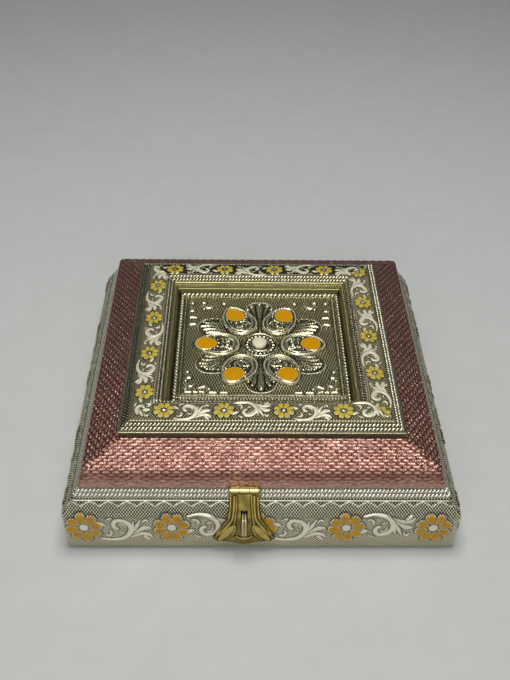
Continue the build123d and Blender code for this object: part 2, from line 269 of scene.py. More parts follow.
def cloth(node, across, out, body):
    """A cloth in a node's place: a closed thin sheet whose face, towards out, waves a little."""
    low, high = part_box(node)
    size = high - low
    axes = [np.array(axis, float) for axis in (across, np.cross(out, across), out)]
    width, height, depth = (abs(float(np.dot(axis, size))) for axis in axes)
    middle = np.array((low + high) / 2)
    columns, rows = (max(4, int(length / VELVET_STEP)) for length in (width, height))
    u, v = np.meshgrid(np.linspace(-0.5, 0.5, columns), np.linspace(-0.5, 0.5, rows), indexing="ij")
    edge = np.clip(6 * (0.5 - np.maximum(abs(u), abs(v))), 0, 1)
    wave = VELVET_WAVE * edge * (np.sin(31 * u + 9 * v) + np.sin(23 * v - 13 * u)) / 2
    lift = depth / 2 - VELVET_INSET * (1 - edge) - VELVET_WAVE + wave
    flat = middle + (u * width)[..., None] * axes[0] + (v * height)[..., None] * axes[1]
    face = (flat + lift[..., None] * axes[2]).reshape(-1, 3)
    back = (flat - depth / 2 * axes[2]).reshape(-1, 3)
    faces = grid_faces(columns, rows) + grid_faces(columns, rows, len(face), flip=True)
    bottom, right, top, left = grid_edges(columns, rows)
    ring = bottom[:-1] + right + top[-2::-1] + left[-2:0:-1]
    faces += [(b, a, len(face) + a, len(face) + b) for a, b in zip(ring, ring[1:] + ring[:1])]
    piece = mesh_piece(f"{node}_cloth", np.vstack((face, back)), faces, red_velvet)
    fit(piece, body, node)


red_velvet = velvet()
dress(red_velvet, "long_divider", "cross_divider")
cloth("floor_velvet", (1, 0, 0), (0, 0, 1), "base")
cloth("lid_velvet", (1, 0, 0), (0, 0, -1), "lid")
for side, inward in zip(SIDES, ((0, 1, 0), (-1, 0, 0), (0, -1, 0), (1, 0, 0))):
    across = np.cross((0, 0, 1), inward)
    cloth(f"wall_{side}_velvet", across, inward, "base")

# The base's faces: soft white sheet metal, chased from the front with flowers, scrolls and ropes over a fine
# hatch, darkened in its hollows, touched with amber and cream enamel, and pinned round the wooden walls.
MM = 0.001
SHEET_THICKNESS = 0.5
GRID_STEP = 0.43
MITRE_BLEND = 1.2
BEND_BLEND = 0.7
BASE_CORNER = 3.0
CORNER_STEPS = 4
METAL_BRIGHT = (0.92, 0.88, 0.72, 1)
METAL_DARK = (0.030, 0.030, 0.016, 1)
METAL_GROUND = (0.93, 0.87, 0.65, 1)
GILT_TINT = (1.0, 0.95, 0.62, 1)
WALL_AMBER = (0.70, 0.42, 0.02, 1)
WALL_AMBER_DEEP = (0.38, 0.15, 0.006, 1)
CREAM = (0.78, 0.74, 0.56, 1)
HATCH = (1.9, 2.5)
HATCH_DEPTH = 0.0002
WALL_HATCH = 1.2
SHOULDER_HATCH = 2.8
HOLLOW_REACH = 0.55


def soft_step(values):
    """0 below 0, 1 above 1, and smooth between."""
    t = np.clip(values, 0, 1)
    return t * t * (3 - 2 * t)


def between(values, low, high, sharp):
    """1 from low to high and 0 outside, with soft ends as short as sharp is large."""
    return soft_step((values - low) * sharp) * soft_step((high - values) * sharp)


def bell(offset, width):
    """1 at no offset, falling off smoothly over a width."""
    return np.exp(-((offset / width) ** 2))


def dome(share):
    """1 in the middle, round, and 0 from the edge on."""
    return np.sqrt(np.clip(1 - share**2, 0, 1))


def smooth_path(points, widths, step=0.4):
    """A smooth line through points, with its widths, sampled about every step."""
    points = np.array(points, float)
    widths = np.array(widths, float)
    padded = np.vstack((2 * points[0] - points[1], points, 2 * points[-1] - points[-2]))
    line, breadth = [], []
    for i in range(len(points) - 1):
        a, b, c, d = padded[i:i + 4]
        count = max(3, int(np.hypot(*(c - b)) / step))
        t = np.linspace(0, 1, count, endpoint=False)[:, None]
        curve = 2 * b + (c - a) * t + (2 * a - 5 * b + 4 * c - d) * t**2 + (3 * b - a - 3 * c + d) * t**3
        line.append(curve / 2)
        breadth.append(widths[i] + (widths[i + 1] - widths[i]) * t[:, 0])
    return np.vstack((*line, points[-1:])), np.concatenate((*breadth, widths[-1:]))


class Relief:
    """Heights and enamel that a chaser puts on a sheet, and painted shade, by places along and across it, in
    millimetres.
    """

    def __init__(self, along, across):
        self.along = along
        self.across = across
        for name in ("height", "raised", "outline", "amber", "cream", "plain", "gilt"):
            setattr(self, name, np.zeros_like(along))
        self.hatch = np.ones_like(along)

    def top(self, where=..., **masks):
        """Brings masks up to the values given."""
        for name, values in masks.items():
            mask = getattr(self, name)
            mask[where] = np.maximum(mask[where], values)

    def near(self, low, high, margin=1.6):
        """Which places lie in a window."""
        inside = (self.along > low[0] - margin) & (self.along < high[0] + margin)
        inside &= (self.across > low[1] - margin) & (self.across < high[1] + margin)
        return np.nonzero(inside)

    def lift(self, where, height, inside, gap, shade=HOLLOW_REACH):
        """Raises places to a height where inside is above 0, with a dark edge as wide as shade on the gap."""
        dark = np.where(gap > 0, bell(gap, shade), 0)
        self.top(where, height=height, raised=soft_step(inside * 3), outline=dark)

    def stroke(self, points, widths, height, cream=0.0, flutes=0, shade=HOLLOW_REACH):
        """A rounded ridge along a path, fluted along its length where flutes is above 0."""
        line, breadth = smooth_path(points, widths)
        reach = breadth.max() + shade
        where = self.near(line.min(0) - reach, line.max(0) + reach)
        if not len(where[0]):
            return
        spot = np.stack((self.along[where], self.across[where]), 1)
        away = spot[:, None, :] - line[None, :, :]
        distance = np.sqrt((away**2).sum(2))
        nearest = distance.argmin(1)
        distance = distance[np.arange(len(spot)), nearest]
        half = breadth[nearest]
        share = distance / half
        crown = dome(share)
        if flutes:
            tangent = np.gradient(line, axis=0)[nearest]
            offset = away[np.arange(len(spot)), nearest]
            turn = np.sign(tangent[:, 0] * offset[:, 1] - tangent[:, 1] * offset[:, 0])
            crown = crown * (0.62 + 0.38 * np.cos(math.pi * flutes * share * turn) ** 2)
        self.lift(where, height * crown * np.clip(half / 0.8, 0.35, 1), 1 - share, distance - half, shade)
        self.top(where, cream=cream * soft_step((1 - share) * 4))

    def boss(self, middle, radii, turn, height, amber=0.0, cream=0.0, rim=0.0, drop=0.0):
        """A domed oval, drawn to a point at one end by drop, with a raised rim and enamel inside."""
        reach = max(radii) * (1 + abs(drop))
        where = self.near(*(np.array(middle) + sign * reach for sign in (-1, 1)))
        if not len(where[0]):
            return
        x = self.along[where] - middle[0]
        y = self.across[where] - middle[1]
        a = (x * math.cos(turn) + y * math.sin(turn)) / radii[0]
        b = (y * math.cos(turn) - x * math.sin(turn)) / radii[1]
        share = np.sqrt(a**2 + (b / (1 + drop * np.clip(a, -1, 1))) ** 2)
        crown = height * dome(share) ** 0.7
        if rim:
            crown = crown + rim * bell(share - 0.92, 0.08)
        self.lift(where, crown, 1 - share, (share - 1) * min(radii))
        inner = soft_step((0.86 - share) * 12) if rim else soft_step((1 - share) * 6)
        self.top(where, amber=amber * inner, cream=cream * inner)

    def flower(self, middle, radii, petals, height, turn=0.0, centre=0.27, heart_cream=0.85):
        """Enamelled petals with bright rims round an oval heart."""
        for k in range(petals):
            angle = turn + 2 * math.pi * k / petals
            x, y = math.cos(angle), math.sin(angle)
            place = (middle[0] + 0.65 * radii[0] * x, middle[1] + 0.65 * radii[1] * y)
            length = 0.38 * math.hypot(radii[0] * x, radii[1] * y)
            breadth = 1.04 * math.pi / petals * 0.66 * math.hypot(radii[0] * y, radii[1] * x)
            lean = math.atan2(radii[1] * y, radii[0] * x)
            self.boss(place, (length, breadth), lean, height, amber=1.0, rim=0.25 * height, drop=0.4)
        heart = (centre * radii[0], centre * radii[1])
        self.boss(middle, heart, 0.0, 1.15 * height, cream=heart_cream)

    def ridge(self, distance, half, height):
        """A rounded line where a distance comes to 0."""
        share = abs(distance) / half
        self.top(height=height * dome(share), raised=soft_step((1 - share) * 3))

    def fillet(self, place, half, height):
        """A straight raised line that runs the whole length, with a dark edge."""
        self.ridge(self.across - place, half, height)
        gap = abs(self.across - place) - half
        self.top(outline=np.where(gap > 0, 0.8 * bell(gap, 0.5), 0))

    def groove(self, low, high, reach=1000.0, dark=1.0):
        """A plain dark strip without hatch, out to a reach on either side of the middle."""
        inside = between(self.across, low, high, 4) * soft_step((reach - abs(self.along)) / 1.5)
        self.top(plain=inside, outline=dark * inside)


SCROLL = (
    ([(-17.5, -11.8), (-10.5, -13.1), (-3.2, -11.4), (1.3, -5.6), (2.0, 0.6), (-1.1, 5.7), (-6.1, 7.4),
      (-9.0, 4.0), (-8.4, 0.0), (-6.6, -1.0)], [0.7, 1.2, 1.7, 2.0, 2.1, 1.9, 1.8, 1.7, 1.5, 1.0], 0),
    ([(-6.3, 3.4), (-4.2, 4.2), (-1.9, 2.4), (-1.6, -1.6)], [0.4, 0.7, 0.7, 0.4], 0),
    ([(-18.2, 5.6), (-16, 3.4), (-14, 2.6)], [0.8, 1.7, 0.7], 0),
    ([(-15.5, -8.2), (-12.2, -8.4), (-10.8, -5.8), (-11.6, -3.2)], [0.4, 1.0, 1.1, 0.6], 0),
    ([(-13.4, 7.6), (-11.4, 9.4), (-9.4, 9.6)], [0.5, 0.9, 0.4], 0),
    ([(-5.6, -3.6), (-4.0, -5.6), (-2.2, -5.2)], [0.4, 0.8, 0.4], 0),
    ([(3.5, -4.4), (3.2, 0.8), (3.8, 6.8)], [0.4, 1.2, 0.5], 0),
    ([(4.2, -3.6), (5.8, 1.8), (8.2, 7.8)], [0.4, 1.5, 0.6], 0),
    ([(3.4, -6.6), (6.8, -3.4), (10.4, -0.6), (13.6, -0.4)], [0.5, 1.5, 2.5, 1.3], 2),
    ([(9.6, 4.8), (10.2, 7.4), (12.2, 8.0), (12.8, 5.8)], [0.5, 0.8, 0.9, 0.6], 0),
    ([(1.2, -10.6), (5.2, -7.9), (9.6, -6.4), (13.4, -7.6), (15.0, -10.6)], [0.5, 1.3, 1.7, 1.6, 0.6], 0),
    ([(10.4, -9.4), (12.6, -12.0)], [1.5, 1.3], 0),
)


def chase_scroll(relief, middle, scale, k, height, cream, bold=1.0):
    """One scroll with its leaves between two flowers; an even k has the stem low, an odd one has it high."""
    flip = 1 if k % 2 == 0 else -1
    for points, widths, flutes in SCROLL:
        placed = [(middle[0] + scale[0] * x, middle[1] + scale[1] * flip * y) for x, y in points]
        width = bold * math.sqrt(scale[0] * scale[1])
        relief.stroke(placed, [width * w for w in widths], height, cream, flutes)


def left_normal(start, end):
    """Unit normal on the left of the way from start to end."""
    run, rise = end[0] - start[0], end[1] - start[1]
    length = math.hypot(run, rise)
    return -rise / length, run / length


def turned(points, turns):
    """Points turned about the vertical by quarter turns."""
    x, y, z = points[..., 0], points[..., 1], points[..., 2]
    for _ in range(turns):
        x, y = -y, x
    return np.stack((x, y, z), -1)


class Strip:
    """One side's sheet: a grid between its two mitres over a line of (half width, height) points."""

    def __init__(self, line, corner, turns):
        self.line = [np.array(p, float) for p in line]
        self.corner = corner
        self.turns = turns
        lengths = [np.hypot(*(b - a)) for a, b in zip(self.line, self.line[1:])]
        self.bends = np.concatenate(([0], np.cumsum(lengths)))
        steps = np.linspace(0, self.bends[-1], int(self.bends[-1] / GRID_STEP))
        inner = [s for s in steps[1:-1] if min(abs(s - self.bends)) > 0.3 * GRID_STEP]
        share = np.linspace(-1, 1, int(2 * self.line[0][0] / GRID_STEP))
        self.grid = np.meshgrid(share, sorted([*self.bends, *inner]), indexing="ij")
        self.along = self.place(*self.grid)[1]

    def profile(self, across):
        """Half width, height and outward normal at places across the sheet."""
        half, high = (np.interp(across, self.bends, [p[k] for p in self.line]) for k in (0, 1))
        stops, outs, ups = [], [], []
        last = len(self.bends) - 2
        for i, (a, b) in enumerate(zip(self.line, self.line[1:])):
            out, up = left_normal(b, a)
            stops += [self.bends[i] + BEND_BLEND * (i > 0), self.bends[i + 1] - BEND_BLEND * (i < last)]
            outs += [out, out]
            ups += [up, up]
        out, up = (np.interp(across, stops, ends) for ends in (outs, ups))
        size = np.hypot(out, up)
        return half, high, out / size, up / size

    def place(self, share, across, lift=0.0):
        """Points and places along for shares from -1 to 1 between the mitres, lifted off the sheet."""
        half, high, out, up = self.profile(across)
        straight = half - self.corner
        along = share * (straight + self.corner * math.pi / 4)
        beyond = np.clip(abs(along) - straight, 0, None)
        angle = beyond / self.corner if self.corner else beyond * 0
        sign = np.sign(along)
        x = np.where(beyond > 0, sign * (straight + self.corner * np.sin(angle)), along)
        y = -(straight + self.corner * np.cos(angle))
        if self.corner:
            lean_x, lean_y = sign * np.sin(angle), -np.cos(angle)
        else:
            lean_x = sign * soft_step(1 - (straight - abs(along)) / MITRE_BLEND)
            lean_y = -np.ones_like(along)
        points = np.stack((x + lift * out * lean_x, y + lift * out * lean_y, high + lift * up), -1)
        return turned(points, self.turns), along

    def relief(self):
        """A relief without work, and the places across it."""
        return Relief(self.along, self.grid[1]), self.grid[1]

    def piece(self, name, relief, material):
        """The closed sheet: the chased face, a plain back at each bend, and flat edges."""
        face, _ = self.place(*self.grid, relief.height)
        columns, rows = self.grid[0].shape
        back_grid = np.meshgrid(self.back_shares(), self.bends, indexing="ij")
        back_columns, back_rows = back_grid[0].shape
        back, _ = self.place(*back_grid, -SHEET_THICKNESS)
        points = np.vstack((face.reshape(-1, 3), back.reshape(-1, 3))) * MM
        start = columns * rows
        faces = grid_faces(columns, rows) + grid_faces(back_columns, back_rows, start, flip=True)
        bottom, right, top, left = grid_edges(columns, rows)
        back_bottom, back_right, back_top, back_left = grid_edges(back_columns, back_rows, start)
        faces += [back_bottom + bottom[::-1], top + back_top[::-1]]
        faces += [left + back_left[::-1], back_right + right[::-1]]
        piece = mesh_piece(name, points, faces, material)
        for edge in range(len(faces) - 4, len(faces)):
            piece.data.polygons[edge].use_smooth = False
        paint(piece.data, relief)
        lay_out(piece.data, relief)
        return piece

    def back_shares(self):
        """Where the back has its columns: at both mitres and, on a rounded corner, along the arcs."""
        if not self.corner:
            return np.array([-1.0, 1.0])
        straight = self.line[-1][0] - self.corner
        ends = [straight + self.corner * math.pi / 4 * k / CORNER_STEPS for k in range(CORNER_STEPS + 1)]
        shares = np.array(ends) / ends[-1]
        return np.concatenate((-shares[::-1], shares))


def write_points(mesh, fields):
    """Writes a grid's numbers or vectors as point attributes; the points after the grid's get none."""
    for name, values in fields.items():
        size, kind, field = (3, "FLOAT_VECTOR", "vector") if values.ndim == 3 else (1, "FLOAT", "value")
        layer = mesh.attributes.new(name, kind, "POINT")
        flat = np.zeros((len(mesh.vertices), size), np.float32)
        flat[:values.size // size] = values.reshape(-1, size)
        layer.data.foreach_set(field, flat.ravel())


def paint(mesh, relief):
    """Writes the relief's masks as point attributes."""
    # The dark mask holds the patina of the chased hollows and also painted shade: behind the hasp's slot, on
    # the back and left bands and on the petals' bodies.
    masks = {"hollow_and_shade": np.clip(relief.outline, 0, 1) * (1 - relief.raised)}
    masks |= {name: getattr(relief, name) for name in ("raised", "amber", "cream", "gilt")}
    masks["hatched"] = (1 - relief.raised) * (1 - relief.plain) * relief.hatch
    write_points(mesh, masks)


def lay_out(mesh, relief):
    """A UV map in decimetres along and across the sheet, for the hatch."""
    flat = np.zeros((len(mesh.vertices), 2))
    flat[:relief.along.size] = np.stack((relief.along.ravel(), relief.across.ravel()), 1) / 100
    corner = np.empty(len(mesh.loops), np.int32)
    mesh.loops.foreach_get("vertex_index", corner)
    layer = mesh.uv_layers.new(name="UVMap")
    layer.data.foreach_set("uv", flat[corner].astype(np.float32).ravel())


def chased_metal(
    name, bright, ground, glaze, glaze_deep, hatch=HATCH, cream_glaze=CREAM, roughness=0.24, pool_scale=220.0
):
    """Bright sheet with a hatched ground, dark hollows and painted shade, gilt runs and enamel where the
    masks say.
    """
    finish = Finish(name, Metallic=1.0, Roughness=roughness, Specular_IOR_Level=0.15)
    plan = finish.node("ShaderNodeUVMap")
    along, across = (finish.axis(plan, k) * (100 * math.pi / hatch[k]) for k in (0, 1))
    weave = ((along + across).sine() * (along - across).sine()).size()
    hatched, amber, cream = (finish.attribute(mask) for mask in ("hatched", "amber", "cream"))
    stain = finish.noise(60.0, 4.0)
    dents = ((1.15 - weave * 2.2 - stain * 0.3) * hatched).clamped()
    metal = finish.mix(finish.attribute("raised"), finish.mix(dents, ground, METAL_DARK), bright)
    metal = finish.mix(finish.attribute("gilt"), metal, GILT_TINT, "MULTIPLY")
    # Patina in the hollows, and painted shade where the mask holds it, darken the metal.
    metal = finish.mix(finish.attribute("hollow_and_shade") * 0.94, metal, METAL_DARK)
    pool = finish.noise(pool_scale, 3.0)
    metal = finish.mix(amber, metal, finish.mix(pool.clamped(), glaze_deep, glaze))
    metal = finish.mix(cream, metal, cream_glaze)
    enamel = amber.larger(cream).clamped()
    finish.link(metal, "Base Color")
    finish.link(1 - enamel, "Metallic")
    finish.link((roughness + stain * 0.12 + hatched * 0.08 + enamel * 0.1).clamped(), "Roughness")
    finish.link(enamel * 0.05, "Coat Weight")
    finish.bump(weave * hatched + finish.noise(1500.0) * 0.15, HATCH_DEPTH)
    return finish.material


WALL_BAND = 31.0
SHOULDER_RUN = 10.2
FLOWER_MIDDLE = 20.0
FLOWER_RADII = (11.8, 13.6)
FLOWER_PITCH = 56.0
FLOWER_PETALS = 8
FLOWER_SHIFT = -1.6
FLOWER_TURN = 10
WALL_RELIEF = 0.95
SCROLL_SCALE = (1.0, 0.95)
ROPE_LINE = (41.6, 0.48, 0.42)
ROPE_BED = (43.1, 49.2)
ROPE_BED_DARK = 0.88
SCALLOP_TOP = 40.6
SCALLOP_DEPTH = 3.1
SCALLOP_PITCH = 11.7
SCALLOP_SHIFT = 2.5
LATCH_MIDDLE = -11.3
SLOT_SHADE_HALF = 3.4
SLOT_SHADE = (24, 37)


def chase_scallops(relief, top, depth, pitch):
    """Pointed arches that hang from a line, each a thin ridge."""
    phase = np.mod((relief.along - SCALLOP_SHIFT) / pitch, 1.0)
    curve = top - depth * abs(2 * phase - 1) ** 1.5
    share = abs(relief.across - curve) / 0.5
    relief.top(height=0.4 * dome(share), raised=0.85 * soft_step(np.clip(1 - share**2, 0, 1) * 3))
    above = soft_step((relief.across - curve - 0.6) * 2) * soft_step((top + 0.6 - relief.across) * 3)
    relief.top(outline=0.4 * above)


def shade_slot(relief):
    """Painted shadow on the wall behind the hasp's slot, dark over whatever is chased there."""
    low, high = SLOT_SHADE
    slot = soft_step(SLOT_SHADE_HALF - abs(relief.along - LATCH_MIDDLE))
    slot = slot * soft_step((relief.across - low) / 3) * soft_step(high - relief.across)
    relief.top(outline=slot)
    relief.raised *= 1 - slot
    relief.amber *= 1 - slot


wall_metal = chased_metal("chased_wall_metal", METAL_BRIGHT, METAL_GROUND, WALL_AMBER, WALL_AMBER_DEEP)
wall_low, wall_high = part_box("base_front_rail")
base_half = -wall_low.y / MM + SHEET_THICKNESS
wall_bottom = wall_low.z / MM
BASE_LINE = [
    (base_half, wall_bottom),
    (base_half, wall_bottom + WALL_BAND),
    (base_half - SHOULDER_RUN, wall_high.z / MM),
]
base_strips = {}
for turns, side in enumerate(SIDES):
    strip = Strip(BASE_LINE, BASE_CORNER, turns)
    relief, across = strip.relief()
    relief.hatch = WALL_HATCH + (SHOULDER_HATCH - WALL_HATCH) * soft_step((across - WALL_BAND + 3) / 2)
    for k in range(-2, 3):
        place = (FLOWER_PITCH * k + FLOWER_SHIFT, FLOWER_MIDDLE)
        relief.flower(place, FLOWER_RADII, FLOWER_PETALS, WALL_RELIEF, math.radians(FLOWER_TURN * (k % 3)))
    for k in range(4):
        place = (FLOWER_PITCH * (k - 1.5) + FLOWER_SHIFT, FLOWER_MIDDLE)
        chase_scroll(relief, place, SCROLL_SCALE, k, WALL_RELIEF, 0.3)
    relief.fillet(*ROPE_LINE)
    relief.groove(*ROPE_BED, strip.profile(across)[0] - 2.0, ROPE_BED_DARK)
    chase_scallops(relief, SCALLOP_TOP, SCALLOP_DEPTH, SCALLOP_PITCH)
    # Painted shadow behind the hasp's slot.
    if side == "front":
        shade_slot(relief)
    piece = strip.piece(f"base_{side}_chased_sheet", relief, wall_metal)
    fit(piece, "base", f"base_{side}_sheet")
    base_strips[side] = strip

# The ropes and beads: rows of slanted strands and round beads raised in the same sheet along its edges.
# Each row runs straight from mitre to mitre and stops short of the hinges and of the hasp's barrel.
STRAND_SEGMENTS = 8
STRAND_RINGS = 5
STRAND_SINK = 0.15
HINGE_MIDDLE = 75.0
HINGE_REACH = 17.0
LATCH_REACH = 11.5
BASE_ROPE_ROWS = (44.6, 47.5)
BASE_STRAND = (2.45, 2.0, 0.88, 0.8, math.radians(38))
BASE_STRAND_BRIGHT = (0.98, 0.96, 0.88, 1)
BASE_STRAND_DULL = (0.80, 0.76, 0.62, 1)


class Rule(Tree):
    """A geometry tree that is given a mesh, some sizes and a finish, and makes a plain mesh of them."""

    def __init__(self, name, *sizes):
        super().__init__(bpy.data.node_groups.new(name, "GeometryNodeTree"))
        kinds = {"Mesh": "Geometry"} | {size: "Float" for size in sizes} | {"Finish": "Material"}
        self.names = {}
        for title, kind in kinds.items():
            socket = self.tree.interface.new_socket(title, in_out="INPUT", socket_type=f"NodeSocket{kind}")
            self.names[title] = socket.identifier
        self.tree.interface.new_socket("Made", in_out="OUTPUT", socket_type="NodeSocketGeometry")
        self.given = self.tree.nodes.new("NodeGroupInput").outputs

    def close(self, last):
        """Ends the tree: what its last node gives is made solid, smooth and dressed."""
        solid = self.node("GeometryNodeRealizeInstances", inputs={"Geometry": last})
        shaded = self.node("GeometryNodeSetShadeSmooth", inputs={"Geometry": solid})
        inputs = {"Geometry": shaded, "Material": self.given["Finish"]}
        out = self.tree.nodes.new("NodeGroupOutput")
        self.tree.links.new(self.node("GeometryNodeSetMaterial", inputs=inputs), out.inputs[0])
        return self

    def grow(self, piece, values):
        """Makes a piece into what the tree makes of it with these values."""
        modifier = piece.modifiers.new("rule", "NODES")
        modifier.node_group = self.tree
        for name, value in values.items():
            modifier[self.names[name]] = value
        made = piece.evaluated_get(bpy.context.evaluated_depsgraph_get())
        mesh = bpy.data.meshes.new_from_object(made)
        piece.modifiers.remove(modifier)
        piece.data = mesh


def rope_rule():
    """Strands of one size along every line of the mesh, turned to the line and standing off the sheet."""
    rule = Rule("rope_row", "Pitch", "Length", "Width", "Height", "Slant")
    given = rule.given
    curve = rule.node("GeometryNodeMeshToCurve", inputs={"Mesh": given["Mesh"]})
    inputs = {"Curve": curve, "Length": given["Pitch"]}
    spaced = rule.node("GeometryNodeResampleCurve", {"mode": "LENGTH"}, inputs)
    inputs = {"Segments": STRAND_SEGMENTS, "Rings": STRAND_RINGS, "Radius": 1.0}
    ball = rule.node("GeometryNodeMeshUVSphere", inputs=inputs)
    inputs = {"X": given["Length"], "Y": given["Width"], "Z": given["Height"]}
    size = rule.node("ShaderNodeCombineXYZ", inputs=inputs)
    lean = rule.node("ShaderNodeCombineXYZ", inputs={"Z": given["Slant"]})
    strand = rule.node("GeometryNodeTransform", inputs={"Geometry": ball, "Scale": size})
    slanted = rule.node("GeometryNodeTransform", inputs={"Geometry": strand, "Rotation": lean})
    tangent = rule.node("GeometryNodeInputTangent")
    settings = {"data_type": "FLOAT_VECTOR"}
    up = rule.node("GeometryNodeInputNamedAttribute", settings, {"Name": "off_sheet"})
    along = rule.node("FunctionNodeAlignRotationToVector", {"axis": "X"}, {"Vector": tangent})
    settings = {"axis": "Z", "pivot_axis": "X"}
    upright = rule.node("FunctionNodeAlignRotationToVector", settings, {"Rotation": along, "Vector": up})
    inputs = {"Points": spaced, "Instance": slanted, "Rotation": upright}
    return rule.close(rule.node("GeometryNodeInstanceOnPoints", inputs=inputs))


def rope_lines(strip, place, sink, gaps=()):
    """Straight runs along a strip at one place across it, less the gaps, as (start, end, normal)."""
    half = float(strip.profile(np.array([float(place)]))[0][0]) - strip.corner
    beyond = 0.7 * strip.corner - 0.8
    edges = [-half - beyond]
    for middle, reach in sorted(gaps):
        edges += [middle - reach, middle + reach]
    edges.append(half + beyond)
    runs = []
    for start, end in zip(edges[::2], edges[1::2]):
        shares = np.array([start, end]) / (half + strip.corner * math.pi / 4)
        low, high = (strip.place(shares, np.full(2, float(place)), lift)[0] for lift in (-sink, 1.0 - sink))
        runs.append((low[0], low[1], (high - low)[0]))
    return runs


def rope_piece(name, runs, strand, body, material):
    """One piece with strands along all the runs; a strand is pitch, half sizes in millimetres and slant."""
    points = [end * MM for run in runs for end in run[:2]]
    piece = bare_piece(name, points, [(k, k + 1) for k in range(0, len(points), 2)])
    write_points(piece.data, {"off_sheet": np.array([[up for *_, up in runs for _ in range(2)]])})
    sizes = {key: size * MM for key, size in zip(("Pitch", "Length", "Width", "Height"), strand)}
    rope.grow(piece, {**sizes, "Slant": strand[4], "Finish": material})
    fit(piece, body)


def strand_metal(name, bright, dull, side_shade=0.0):
    """Bright metal of the raised strands, uneven in wear; painted shade darkens the left and right sides, the
    left one more.
    """
    finish = Finish(name, Metallic=1.0, Roughness=0.24)
    stain = finish.noise(300.0, 3.0)
    place = finish.place()
    x, y = (finish.axis(place, k) for k in (0, 1))
    # Painted shade on the left and right sides, stronger on the left.
    sideways = ((x.size() - y.size()) * 500.0).clamped() * ((x * -7.0 + 1.0) * side_shade)
    wear_and_highlight = finish.mix((stain * 2.0 - 0.5).clamped(), dull, bright)
    finish.link(finish.mix(sideways.clamped(), wear_and_highlight, METAL_DARK), "Base Color")
    finish.link(0.16 + stain * 0.2, "Roughness")
    finish.bump(finish.noise(1800.0), 0.00005)
    return finish.material


rope = rope_rule()
base_strands = strand_metal("base_strand_metal", BASE_STRAND_BRIGHT, BASE_STRAND_DULL)
BARREL_GAPS = {
    "front": [(LATCH_MIDDLE, LATCH_REACH)],
    "back": [(-HINGE_MIDDLE, HINGE_REACH), (HINGE_MIDDLE, HINGE_REACH)],
}
for side in SIDES:
    runs = []
    for place in BASE_ROPE_ROWS:
        runs += rope_lines(base_strips[side], place, STRAND_SINK, BARREL_GAPS.get(side, []))
    rope_piece(f"base_{side}_ropes", runs, BASE_STRAND, "base", base_strands)

# The lid's skirt and bevel: rose-coloured sheet metal pressed all over with rows of small lens-shaped bosses,
# each row half a boss out of step with the next, bent over the edge and mitred at the corners.
ROSE_BRIGHT = (0.56, 0.32, 0.25, 1)
ROSE_DARK = (0.15, 0.038, 0.024, 1)
SKIRT_HEIGHT = 12.5
SKIRT_LEAN = 4.2
BEVEL_RUN = 20.7
BOSS_PITCH = 6.3
BOSS_ROW = 2.1
BOSS_HEIGHT = 0.5
SKIRT_FLAT = 0.35
BEND_ROWS = 1.3


def rose_metal():
    """Rose metal under a clear lacquer, darker between the bosses and in streaks along the skirt."""
    finish = Finish("rose_metal", Metallic=0.87, Roughness=0.2, Coat_Roughness=0.12)
    masks = ("hollow_and_shade", "skirt", "across", "along")
    hollow_and_shade, skirt, across, along = (finish.attribute(mask) for mask in masks)
    stain = finish.noise(90.0, 4.0)
    crease = finish.noise(420.0, 4.0)
    wave = across * 2300.0 + (along * 330.0).sine() * 1.6
    streak = (wave + stain * 14.0).sine() * 0.5 + 0.5
    shade = hollow_and_shade + stain * 0.7 + crease * 0.5 - 0.6 + skirt * (streak * 0.35 + across * 60.0 - 0.25)
    finish.link(finish.mix(shade.clamped(), ROSE_BRIGHT, ROSE_DARK), "Base Color")
    finish.link((0.15 + stain * 0.22).clamped(), "Roughness")
    finish.link(0.1 + stain * 0.2, "Coat Weight")
    finish.bump(crease, 0.0009)
    return finish.material


def boss_rule():
    """Presses rows of lens-shaped bosses into a sheet, each row half a boss out of step with the next."""
    rule = Rule("boss_rows", "Pitch", "Row", "Height")
    pitch, row_pitch, height = (Value(rule.tree, rule.given[name]) for name in ("Pitch", "Row", "Height"))

    def named(name, kind="FLOAT"):
        return rule.value("GeometryNodeInputNamedAttribute", {"data_type": kind}, {"Name": name})

    row = named("from_edge") / row_pitch
    step = row.math("ROUND")
    place = named("along") / pitch + step.math("FLOORED_MODULO", 2.0) * 0.5
    x = (place - place.math("ROUND")) * 2
    y = (row - step) * 2
    lens = (1 - x * x - (y.size() ** 1.4) * 0.9).clamped()
    press = named("press")
    lift = (lens ** 0.6) * press * height
    inputs = {"Vector": named("off_sheet", "FLOAT_VECTOR"), "Scale": lift}
    offset = rule.node("ShaderNodeVectorMath", {"operation": "SCALE"}, inputs)
    inputs = {"Geometry": rule.given["Mesh"], "Offset": offset}
    pressed = rule.node("GeometryNodeSetPosition", inputs=inputs)
    seam = (1.1 - lens * 2.2).clamped() * (press + 0.15).clamped()
    settings = {"data_type": "FLOAT", "domain": "POINT"}
    inputs = {"Geometry": pressed, "Name": "hollow_and_shade", "Value": seam}
    return rule.close(rule.node("GeometryNodeStoreNamedAttribute", settings, inputs))


